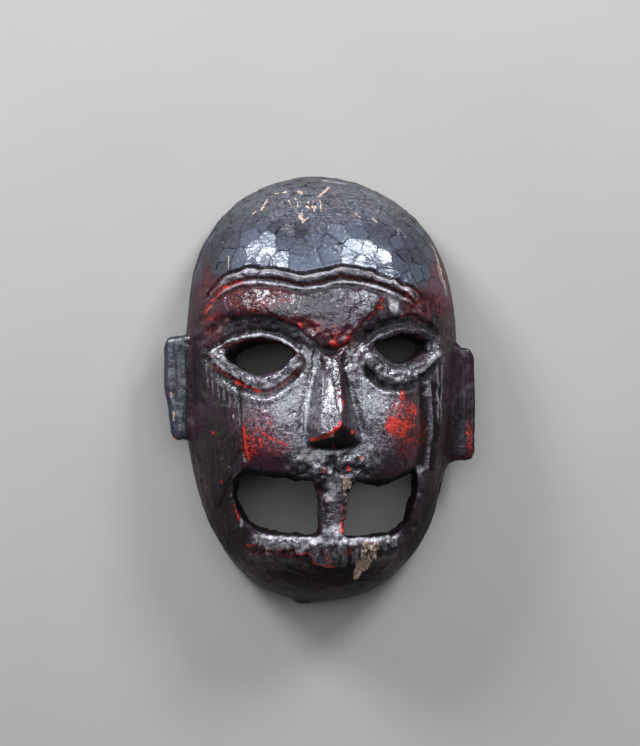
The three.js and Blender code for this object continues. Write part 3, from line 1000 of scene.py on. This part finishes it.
# %% Bare wood: the nose, the right temple, the left ear and two small marks
dab(bare, (-1.2, -26.6), (1.8, 1.5), 1.0)
stripe(bare, ((69, 94), (74, 78), (77, 64)), 0.8, 0.62)
stripe(bare, ((-97, 0), (-96.6, -5)), 0.8, 0.95, ends=0.02)
stripe(bare, ((-95.6, -12), (-94.8, -19)), 0.8, 0.95, ends=0.02)
dab(bare, (-59.7, -15.2), (0.7, 2.0), 0.8)
stripe(bare, ((-61.7, 86), (-61.5, 80), (-61.7, 75.5)), 0.45, 0.85)

# %% Dust where nobody rubs, and a pale painted sheen on the crusts, the cheeks, the nose and the lids
DRIPS = (  # thin runs down the temples and the crown: x, y, length
    (-76, 16, 14), (-73, 18, 20), (-69.5, 12, 16), (-66, 8, 14), (-62, 4, 16), (-59, 2, 12), (-35, 113, 6),
    (-8.2, 87, 7), (50, 78, 8), (63, 58, 12), (66, 56, 14), (69, 60, 12),
)
SCRATCHES = (  # from, to
    ((34.6, 121.7), (31.4, 112)), ((1.8, 94.6), (7.3, 88.3)), ((4.8, 93), (9.6, 81)),
    ((-22, 127.8), (-29.8, 117)), ((45, 103), (50.2, 97.4)), ((42, 104), (46, 99)),
    ((-18, 120), (-15, 110)), ((33, -11.5), (39.5, -14.5)),
)
# On the crusts, this pale grey is partly a painted highlight.
dust_and_sheen = np.maximum(dust_and_sheen, 0.5 * crust)
dab(dust_and_sheen, (6, -93), (13, 4), 1.0)
# On the cheeks, down the nose and over the forehead, it is a painted sheen.
dab(dust_and_sheen, (-30, -12), (26, 22), 0.9)
dab(dust_and_sheen, (28, -14), (18, 26), 0.8)
stripe(dust_and_sheen, ((-7, 14), (-9, -4), (-12, -24)), 3.6, 0.9)
stripe(dust_and_sheen, ((-9, 16), (-12.5, 4), (-15.5, -12), (-16, -26)), 0.7, 1.0)
dab(dust_and_sheen, (2, 56), (30, 16), 0.2)
dab(dust_and_sheen, (2, 118), (50, 14), 0.45)
dab(dust_and_sheen, (-38.5, 81.5), (4.6, 5), 1.0)
dab(dust_and_sheen, (36, 73), (6, 5), 0.8)
dab(dust_and_sheen, (8, 111), (4, 1.2), 0.8)
dab(dust_and_sheen, (-8, 100), (4, 4), 0.6)
# Under the left eye and along the right fold, it is a painted highlight.
stripe(dust_and_sheen, moved(LEFT_LOWER, -10.2), 1.6, 1.0, ends=0.2)
stripe(dust_and_sheen, RIGHT_FOLD, 1.2, 0.9)
for x, y, run in DRIPS:
    stripe(dust_and_sheen, ((x, y), (x + 0.5, y - run / 2), (x + 0.8, y - run)), 0.45, 1.0)
for one, other in SCRATCHES:
    stripe(dust_and_sheen, bowed(one, other, 0.4), 0.5, 1.0, ends=0.03)

# %% Pale worn ridges and painted highlights, which the soot and painted shade in the cuts cover
stripe(pale, ((68, 96), (72, 84), (73, 76), (78, 60)), 1.0, 0.3)
# Along the brow bead, the nose ridge, the lids and the lower lip's ledge, the pale is a painted highlight.
stripe(pale, moved(BEAD, 2.8), 0.9, 0.62, ends=0.04)
stripe(pale, ((40, 68.5), (48, 64.5), (55, 59)), 0.8, 0.8, ends=0.05)
stripe(pale, moved(BEAD, -5.3), 0.6, 0.55, ends=0.04)
stripe(pale, ((-9, 16), (-12.5, 4), (-15.5, -12), (-16, -26)), 0.6, 0.8)
stripe(pale, moved(LEFT_UPPER, 0.8), 0.9, 0.55)
stripe(pale, ((70, 28), (70.8, 8), (70.2, -18)), 0.6, 0.32)
stripe(pale, ((74, 18), (74.4, 0), (73.6, -20)), 0.5, 0.28)
stripe(pale, ((-67, 22), (-59, 17), (-50, 12)), 0.9, 0.8)
stripe(pale, ((-47, -93), (-30, -95.5), (-12, -96)), 2.0, 0.42)
stripe(pale, ((-47, -90), (-26, -91), (-10, -91)), 0.8, 0.85)
stripe(pale, ((14, -92), (30, -92), (46, -90)), 1.2, 0.6)
dab(pale, (-8, -92.5), (6, 2.4), 0.8)
dab(pale, (15, -93), (6, 2.4), 0.8)
stripe(pale, moved(LEFT_LOWER, -1.6), 1.5, 0.55)
stripe(pale, moved(RIGHT_LOWER, -1.0)[1:], 2.2, 0.4)
dab(pale, (2, -57), (5, 5), 0.6)
dab(pale, (1, -66), (3, 6), 0.5)
dab(pale, (4, -84), (3, 6), 0.4)
dab(pale, (4.6, -8), (1.0, 4), 0.9)
stripe(pale, ((-1.6, 9), (-1.4, 0), (-2.4, -6)), 0.9, 0.8)
dab(pale, (-56.7, -67), (1.5, 4.5), 0.9)
dab(pale, (-54, -82), (1.0, 3), 0.4)
dab(pale, (58.5, -49), (2.6, 2.4), 0.8)
dab(pale, (40, 55), (3.4, 6), 0.55, 10)
stripe(pale, ((-2, 134.5), (6, 134), (16, 131.5)), 0.7, 0.3)
# The tops of the crust's lumps are painted light: painted highlights.
pale = np.maximum(pale, 0.55 * crust * ramp(lumpy + 0.3 * rough_noise(points, 2.2, 48), 0.15, 0.75))
pale *= (1.0 - 0.9 * soot_and_shade) * (1.0 + 0.7 * noise(points, (2.4, 4.0, 3.0), 95))

# %% Polish on the ridges
shine = np.maximum(shine, 0.85 * crust * ramp(lumpy, -0.5, 0.2))
shine *= 1.0 - 0.35 * gnawed * (points[:, 1] > -60)
stripe(shine, ((-1.6, 12), (-1.0, 2), (-2.4, -7)), 1.6, 1.0)
stripe(shine, ((-7, 14), (-9, -4), (-12, -24)), 3.6, 0.8)
stripe(shine, ((9, 10), (12, -6), (16, -22)), 3.0, 0.5)
stripe(shine, ((4.4, -1), (4.8, -10)), 1.0, 0.9)
stripe(shine, moved(LEFT_LOWER, -10.2), 1.8, 1.0, ends=0.2)
stripe(shine, moved(LEFT_UPPER, 0.4), 1.6, 0.9)
stripe(shine, moved(BEAD, 1.4), 1.2, 0.3)
dab(shine, (-40, 4), (14, 5), 0.7)
dab(shine, (38, 10), (12, 6), 0.7)

# %% [markdown]
# Where no hand reaches, the surface is darkened as painted shade, with some soot: under the upper lip, on
# the walls of the holes, in the cracks of the crust, between the cuts of the lower lip and down the jaw. This
# comes after the pale ridges and painted highlights, which stay pale.

# %% Painted shade under the lip and on the walls of the holes
SHADED_LIP = -52.0  # mm up the face

under_lip = ramp(-normals[:, 1], 0.35, 0.75) * ramp(np.abs(points[:, 1] - SHADED_LIP), 12.0, 8.0)
in_eyes = (points[:, 1] > 4) & (points[:, 1] < 40) & (np.abs(points[:, 0]) > 15) & (np.abs(points[:, 0]) < 75)
sideways = ramp(outward, 0.4, 0.1) * ramp(normals[:, 2], -0.5, -0.25)
hole_walls = relax((in_mouth | in_eyes & (points[:, 2] > 35)) * sideways, edges, 1)
soot_and_shade = np.maximum(soot_and_shade, 0.9 * outside * (points[:, 2] > 50) * under_lip)
soot_and_shade = np.maximum(soot_and_shade, 0.85 * hole_walls)

# %% Painted shade and soot in the cracks of the crust, between the cuts of the lower lip and down the jaw
soot_and_shade = np.maximum(soot_and_shade, 0.95 * crust * relax(cracks, edges, 1))
soot_and_shade = np.maximum(soot_and_shade, 0.8 * crust * gnawed * ramp(lumpy, -0.25, -0.8))
for x, high, low, _ in TEETH:
    _, middle, foot = upright(x, high, low)
    stripe(soot_and_shade, ((x, high - 1), middle, foot), 0.8, 0.95, ends=0.2)
# The right ear, the right brow, the jaw and the chin are darkened: painted shade.
dab(soot_and_shade, (94, -8), (12, 44), 0.4)
dab(soot_and_shade, (58, 52), (17, 13), 0.92)
dab(soot_and_shade, (36, 46), (12, 8), 0.8)
dab(soot_and_shade, (-62, -84), (14, 28), 0.7)
dab(soot_and_shade, (62, -82), (14, 32), 0.7)
dab(soot_and_shade, (2, -119), (40, 9), 0.45)

# %% Dull places
dab(dull, (48, 48), (26, 14), 0.9)
dab(dull, (2, 52), (26, 14), 0.35)
dab(dull, (94, -8), (12, 44), 0.9)
dab(dull, (56, 54), (18, 14), 1.0)
dab(dull, (64, 86), (20, 30), 0.45)
dab(dull, (-94, 4), (12, 40), 0.35)
dab(dull, (-58, -88), (14, 26), 0.8)
dab(dull, (60, -84), (14, 30), 0.8)
dab(dull, (72, -30), (8, 50), 0.7)
dab(dull, (2, -30), (18, 6), 1.0)
dab(dull, (-38.5, 81), (4, 4.4), 0.9)
dab(dull, (-36, -36), (24, 12), 0.45)
stripe(dull, ((1.4, 10), (1.8, -4), (2.6, -18)), 1.0, 0.6)
stripe(dull, ((-4.4, 12), (-5.6, -2), (-8, -20)), 1.4, 0.6)
dab(dull, (0, -18), (10, 6), 0.7)
dull = np.maximum(dull, soot_and_shade)
print("share of polished and of dull points:", round((shine > 0.5).mean(), 3), round((dull > 0.5).mean(), 3))

# %% Masks that follow from the form
facing_up = relax(ramp(0.4 * outward + 0.6 * normals[:, 2] + 0.35 * normals[:, 1], 0.62, 0.95), edges, 4)
pebbled = outside * (1.0 - crown) * (0.2 + 0.8 * facing_up)
forehead = (1.0 - crown) * ramp(points[:, 1], 26.0, 40.0)
broken = ramp(rough_noise(points, 9.0, 81), -0.8, 0.4)
line = crown * (1.0 - 0.6 * rubbed) * ramp(facet_edge, 0.9, 0.25) * broken
wall_line = walls * ramp(wall_edge, 1.2, 0.3)

# A belt over the brow, between the temples, is glossier than the rest of the crown, and greyer as a painted
# sheen.
sheen_belt = ramp(above_brow(STEP_RISE), 30.0, 6.0) * ramp(np.abs(points[:, 0] + 6.0), 58.0, 34.0)
handled = 1.0 - 0.55 * crown * (1.0 - np.maximum(0.7 * rubbed, 0.6 * sheen_belt))
lit = np.maximum(shine, (1.0 - 0.5 * forehead) * facing_up)
unlined = (1.0 - 0.85 * line) * (1.0 - 0.7 * wall_line)
left_ear = ears * (points[:, 0] < 0)

# %% Keep the masks on the mesh
LAYERS = {
    "edge_wear": edge_wear * outside,
    "hollow_shade": hollow_shade,
    "crust": crust,
    "red_worn": red * outside,
    "bare_wood": bare * outside,
    "hollow": inside * (1.0 - hole_walls),
    "dust_and_sheen": dust_and_sheen * outside * (1.0 - 0.8 * soot_and_shade),
    "soot_and_shade": soot_and_shade,
    "facet_line": line + 0.4 * wall_line,
    # The facets' grey tone is random, with the belt's painted sheen on top.
    "facet_tone": 0.5 * facet_tone + 0.5 * sheen_belt,
    # The left ear takes the crown's grey too, which is partly a painted sheen.
    "crown": np.maximum(crown, 0.6 * left_ear),  # the left ear is grey too
    "pebbled": pebbled * (1.0 - 0.8 * crust) + 0.16 * rubbed * crown,
    "top": top,
    "pale": pale * outside,
    "polish": outside * (1.0 - dull) * lit * unlined * handled,
}
for name, values in LAYERS.items():
    layer = mesh.attributes.new(name, "FLOAT", "POINT")
    layer.data.foreach_set("value", np.clip(values, 0.0, 1.0).astype(np.float32))
print("masks on the mesh:", ", ".join(LAYERS))

# %% [markdown]
# The crown is shaded flat, so that each adze facet keeps its crisp edge, and the rest is smooth.

# %% Flat crown, smooth face
work_on(mask)
bpy.ops.object.shade_smooth()
loop_points = np.empty(len(mesh.loops), np.int32)
mesh.loops.foreach_get("vertex_index", loop_points)
starts = np.empty(len(mesh.polygons), np.int32)
mesh.polygons.foreach_get("loop_start", starts)
smooth_faces = np.minimum.reduceat(crown[loop_points], starts) < 0.6
mesh.polygons.foreach_set("use_smooth", smooth_faces)
print("flat faces on the crown:", int((~smooth_faces).sum()))

# %% [markdown]
# The back half of the walls and the hollow are plain, and nobody comes close to them. Their net is thinned
# once more, now that every cut is made. Decimate blends the masks as it merges points, and it takes the
# flattest places first, so the cuts stay. The face and the crown keep every point.

# %% Thin the net of the plain parts
MOST_TRIANGLES = 194000  # the number of triangles to thin down to; the library takes pieces of up to 200,000
HALF_WAY_UP = 42.0  # mm: the walls are plain from the back rim to here

plain = (inside > 0.5) | ((points[:, 2] < HALF_WAY_UP) & (crown < 0.02))
triangles = thin_out(mask, plain, MOST_TRIANGLES / triangles)
mesh = mask.data
print("triangles after thinning:", triangles)

# %% [markdown]
# ## Materials
#
# One surface carries every layer, as the real one does: wood, then vermilion, then black. Each layer has
# its own colour, gloss and grain, and the masks say how far down the wear has gone, and where shade, sheen
# and highlights are painted into the colour. The colours are written as they look on a screen, and turned
# into linear light.


# %% Helpers for materials
def linear(code):
    """An sRGB hex colour as linear red, green, blue and alpha."""
    parts = [int(code[i : i + 2], 16) / 255.0 for i in (1, 3, 5)]
    return [c / 12.92 if c <= 0.04045 else ((c + 0.055) / 1.055) ** 2.4 for c in parts] + [1.0]


def add(tree, kind, settings, *values, **named):
    """Add a node with its settings. Values fill its open inputs in order, and the named ones go by name.
    Each is a number or colour, or a node or socket to link from."""
    node = tree.nodes.new("ShaderNode" + kind)
    for key, value in settings.items():
        setattr(node, key, value)
    pairs = list(zip([socket for socket in node.inputs if socket.enabled], values))
    pairs += [(node.inputs[name.replace("_", " ")], value) for name, value in named.items()]
    for socket, value in pairs:
        if isinstance(value, bpy.types.Node):
            value = next(out for out in value.outputs if out.enabled)
        if isinstance(value, bpy.types.NodeSocket):
            tree.links.new(value, socket)
        else:
            socket.default_value = value
    return node


COLOURS = {"data_type": "RGBA"}
NUMBERS = {"data_type": "FLOAT"}
TIMES = {"operation": "MULTIPLY"}
PLUS_SHARE = {"operation": "MULTIPLY_ADD"}  # the first times the second, plus the third
SMOOTH = {"interpolation_type": "SMOOTHSTEP"}

# %% [markdown]
# ### The floor's paint
#
# A pale matt floor. Only a faint mottle keeps it from looking like nothing at all.

# %% Matt pale floor paint
matt = bpy.data.materials.new("matt_pale_floor_paint")
matt.use_nodes = True
tree = matt.node_tree
tree.nodes.clear()
where = add(tree, "TexCoord", {})
mottle = add(tree, "TexNoise", {}, Vector=where.outputs["Object"], Scale=9.0, Detail=3.0)
tone = add(tree, "Mix", COLOURS, mottle, linear("#958F89"), linear("#9C9690"))
shader = add(tree, "BsdfPrincipled", {}, Base_Color=tone, Roughness=0.85)
add(tree, "OutputMaterial", {}, shader)
floor.data.materials.append(matt)

# %% [markdown]
# ### Worn black lacquer over vermilion, on carved wood
#
# Natural lacquer is brushed on thin and sets hard and glassy, with an IOR of about 1.5. Old black lacquer
# turns a plum brown, and is polished only where it was handled. Vermilion is a dense pigment, so the red is
# flatter. Bare old wood is dull, and darker in its grain.
#
# So the black itself is a dull old film that mirrors little, with an IOR of 1.4 and a low specular level.
# The polish is a clear coat over it. Its IOR of 1.8 is above lacquer's own, to match how bright the handled
# places look.

# %% Colours of the layers
# The black of the cuts is also the colour of the painted shade.
BLACK_DEEP, BLACK_PLUM, BLACK_OF_CUTS_AND_SHADE = linear("#14080E"), linear("#371529"), linear("#070405")
BLACK_GRAIN = linear("#0C0509")
# The crown's grey is partly a painted sheen.
CROWN_DARK, CROWN_GREY_AND_SHEEN, CROWN_STREAK = linear("#090B10"), linear("#4A5160"), linear("#4A4A50")
RED_DARK, RED_BRIGHT = linear("#641012"), linear("#CC3019")
WOOD_DARK, WOOD_PALE = linear("#776052"), linear("#CDB096")
HOLLOW_DARK, HOLLOW_PALE = linear("#2B1C13"), linear("#553B27")
# The dust grey is also a painted sheen, and the worn pale also a painted highlight.
DUST_AND_SHEEN_GREY, PALE_WEAR_AND_HIGHLIGHT = linear("#9A959C"), linear("#BDB5B9")

# %% The layers' masks
lacquer = bpy.data.materials.new("worn_black_lacquer_over_vermilion_on_carved_wood")
lacquer.use_nodes = True
tree = lacquer.node_tree
tree.nodes.clear()
masks = {name: add(tree, "Attribute", {"attribute_name": name}).outputs["Fac"] for name in LAYERS}

# %% Millimetre coordinates, and the same stretched along the grain
where = add(tree, "TexCoord", {})
mm = add(tree, "Mapping", {}, Vector=where.outputs["Object"], Scale=(1000.0, 1000.0, 1000.0))
with_grain = add(tree, "Mapping", {}, Vector=mm, Scale=(1.0, 0.05, 1.0))
across_top = add(tree, "Mapping", {}, Vector=mm, Scale=(0.06, 1.0, 0.5))
long_hairs = add(tree, "Mapping", {}, Vector=mm, Scale=(1.0, 0.025, 0.3))

# %% The patterns that break the masks up, sized in millimetres
GRIME, FLAKE, PUCKER = 26.0, 2.6, 2.3

# The fine ones are drawn two to five times as coarse as real, so that they show at arm's length.
SPECK, GRAIN, STROKE, HAIR, PIT = 0.9, 0.9, 1.3, 0.55, 1.5

grime = add(tree, "TexNoise", {}, Vector=mm, Scale=1 / GRIME, Detail=4.0, Roughness=0.55)
flakes = add(tree, "TexNoise", {}, Vector=mm, Scale=1 / FLAKE, Detail=5.0, Roughness=0.66)
specks = add(tree, "TexNoise", {}, Vector=mm, Scale=1 / SPECK, Detail=3.0, Roughness=0.6)
pebbles = add(tree, "TexNoise", {}, Vector=mm, Scale=1 / PUCKER, Detail=1.6, Roughness=0.55, Distortion=0.3)
grains = add(tree, "TexNoise", {}, Vector=with_grain, Scale=1 / GRAIN, Detail=3.0, Roughness=0.6)
strokes = add(tree, "TexNoise", {}, Vector=across_top, Scale=1 / STROKE, Detail=3.0, Roughness=0.6)
scratch = add(tree, "TexNoise", {}, Vector=long_hairs, Scale=1 / HAIR, Detail=2.0, Roughness=0.5)
pitted = add(tree, "TexVoronoi", {}, Vector=mm, Scale=1 / PIT)

# %% Black lacquer: plum where it has faded, and grey, facet by facet, on the crown, partly as a painted sheen
faded = add(tree, "MapRange", SMOOTH, grime, 0.38, 0.62)
black = add(tree, "Mix", COLOURS, faded, BLACK_DEEP, BLACK_PLUM)
grain_lines = add(tree, "MapRange", SMOOTH, grains, 0.5, 0.68, 0.5, 0.0)
black = add(tree, "Mix", COLOURS, grain_lines, black, BLACK_GRAIN)
facet_push = add(tree, "Math", PLUS_SHARE, flakes, 1.6, specks)
facet_push = add(tree, "Math", PLUS_SHARE, masks["facet_tone"], 1.3, facet_push)
facet_share = add(tree, "MapRange", {}, facet_push, 1.2, 2.5)
facet_grey = add(tree, "Mix", COLOURS, facet_share, CROWN_DARK, CROWN_GREY_AND_SHEEN)
streaked = add(tree, "MapRange", SMOOTH, strokes, 0.42, 0.62)
top_grey = add(tree, "Mix", COLOURS, streaked, CROWN_DARK, CROWN_STREAK)
crown_black = add(tree, "Mix", COLOURS, add(tree, "Math", TIMES, masks["top"], 0.6), facet_grey, top_grey)
black = add(tree, "Mix", COLOURS, add(tree, "Math", TIMES, masks["crown"], 0.9), black, crown_black)
black = add(tree, "Mix", COLOURS, add(tree, "Math", TIMES, masks["facet_line"], 0.85), black, BLACK_OF_CUTS_AND_SHADE)
# Painted shade in the broad hollows, then the soot and painted shade of the masks.
black = add(tree, "Mix", COLOURS, add(tree, "Math", TIMES, masks["hollow_shade"], 0.8), black, BLACK_OF_CUTS_AND_SHADE)
black = add(tree, "Mix", COLOURS, masks["soot_and_shade"], black, BLACK_OF_CUTS_AND_SHADE)

# %% Vermilion: it shows where its mask, the flakes and the worn edges add up to enough
push = add(tree, "Math", TIMES, masks["red_worn"], 0.60)
push = add(tree, "Math", PLUS_SHARE, masks["edge_wear"], 0.05, push)
push = add(tree, "Math", PLUS_SHARE, flakes, 0.75, push)
push = add(tree, "Math", PLUS_SHARE, specks, 0.60, push)
red_shows = add(tree, "MapRange", SMOOTH, push, 1.06, 1.14)
red_stain = add(tree, "MapRange", SMOOTH, push, 0.72, 1.10, 0.0, 0.55)
vermilion = add(tree, "Mix", COLOURS, add(tree, "MapRange", SMOOTH, specks, 0.35, 0.6), RED_DARK, RED_BRIGHT)
colour = add(tree, "Mix", COLOURS, red_stain, black, RED_DARK)
colour = add(tree, "Mix", COLOURS, red_shows, colour, vermilion)

# %% Bare wood and its grain
wood_push = add(tree, "Math", PLUS_SHARE, flakes, 0.9, masks["bare_wood"])
wood_shows = add(tree, "MapRange", SMOOTH, wood_push, 0.98, 1.10)
wood = add(tree, "Mix", COLOURS, add(tree, "MapRange", SMOOTH, grains, 0.38, 0.62), WOOD_DARK, WOOD_PALE)
colour = add(tree, "Mix", COLOURS, wood_shows, colour, wood)

# %% Pale dust and painted sheen on the crusts, the cheeks and the nose, between the flakes and not on the red
dust_and_sheen_share = add(tree, "Math", TIMES, masks["dust_and_sheen"], add(tree, "MapRange", SMOOTH, flakes, 0.32, 0.62))
dust_and_sheen_share = add(tree, "Math", TIMES, dust_and_sheen_share, add(tree, "MapRange", SMOOTH, specks, 0.35, 0.65))
dust_and_sheen_share = add(tree, "Mix", NUMBERS, add(tree, "Math", TIMES, red_shows, 0.75), dust_and_sheen_share, 0.0)
colour = add(tree, "Mix", COLOURS, add(tree, "Math", TIMES, dust_and_sheen_share, 0.8), colour, DUST_AND_SHEEN_GREY)

# %% Pale worn ridges and painted highlights
pale_share = add(tree, "MapRange", SMOOTH, flakes, 0.3, 0.6, 0.35, 1.0)
colour = add(tree, "Mix", COLOURS, add(tree, "Math", TIMES, masks["pale"], pale_share), colour, PALE_WEAR_AND_HIGHLIGHT)

# %% The hollow: never lacquered, browned by smoke and hands
hollow_push = add(tree, "Math", PLUS_SHARE, grime, 0.6, masks["hollow"])
hollow_shows = add(tree, "MapRange", SMOOTH, hollow_push, 0.72, 0.92)
hollow_tone = add(tree, "Math", TIMES, grains, 0.5)
hollow_tone = add(tree, "Math", PLUS_SHARE, grime, 0.8, hollow_tone)
hollow_grain = add(tree, "MapRange", SMOOTH, hollow_tone, 0.45, 0.85)
hollow_wood = add(tree, "Mix", COLOURS, hollow_grain, HOLLOW_DARK, HOLLOW_PALE)
colour = add(tree, "Mix", COLOURS, hollow_shows, colour, hollow_wood)

# %% Gloss of each layer, and the clear polish over the black
gloss = add(tree, "MapRange", SMOOTH, flakes, 0.3, 0.7, 0.38, 0.5)
gloss = add(tree, "Mix", NUMBERS, masks["facet_line"], gloss, 0.6)
gloss = add(tree, "Mix", NUMBERS, red_shows, gloss, 0.5)
gloss = add(tree, "Mix", NUMBERS, add(tree, "Math", TIMES, dust_and_sheen_share, 0.7), gloss, 0.6)
gloss = add(tree, "Mix", NUMBERS, wood_shows, gloss, 0.78)
gloss = add(tree, "Mix", NUMBERS, hollow_shows, gloss, 0.7)
gloss = add(tree, "Mix", NUMBERS, masks["soot_and_shade"], gloss, 0.75)
clear = add(tree, "Mix", NUMBERS, add(tree, "Math", TIMES, red_shows, 0.6), masks["polish"], 0.0)
clear = add(tree, "Mix", NUMBERS, wood_shows, clear, 0.0)

# %% Relief too fine for the mesh
pebble_height = add(tree, "Mix", NUMBERS, masks["pebbled"], 0.16 * MM, 0.6 * MM)
relief = add(tree, "Math", TIMES, pebbles, pebble_height)
relief = add(tree, "Math", PLUS_SHARE, flakes, 0.15 * MM, relief)
relief = add(tree, "Math", PLUS_SHARE, specks, 0.04 * MM, relief)
relief = add(tree, "Math", PLUS_SHARE, grains, 0.07 * MM, relief)
stroke_height = add(tree, "Math", TIMES, masks["top"], 0.25 * MM)
relief = add(tree, "Math", PLUS_SHARE, strokes, stroke_height, relief)
scratched = add(tree, "MapRange", SMOOTH, scratch, 0.66, 0.74)
relief = add(tree, "Math", PLUS_SHARE, scratched, -0.06 * MM, relief)
pit_depth = add(tree, "MapRange", SMOOTH, pitted, 0.15, 0.55, -0.15 * MM, 0.0)
relief = add(tree, "Math", PLUS_SHARE, pit_depth, masks["crust"], relief)
bump = add(tree, "Bump", {}, Height=relief, Distance=1.0, Strength=1.0)

# %% Worn black lacquer over vermilion, on carved wood
shader = add(
    tree,
    "BsdfPrincipled",
    {},
    Base_Color=colour,
    Roughness=gloss,
    Normal=bump,
    Coat_Normal=bump,
    IOR=1.4,
    Specular_IOR_Level=0.3,
    Coat_Weight=clear,
    Coat_IOR=1.8,
    Coat_Roughness=0.23,
)
add(tree, "OutputMaterial", {}, shader)
mask.data.materials.append(lacquer)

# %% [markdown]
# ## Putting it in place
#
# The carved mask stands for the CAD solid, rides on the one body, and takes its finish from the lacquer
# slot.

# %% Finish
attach(mask, "root")
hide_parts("mask")
deselect_all()

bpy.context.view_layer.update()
mesh.calc_loop_triangles()
print("triangles in the mask:", len(mesh.loop_triangles))
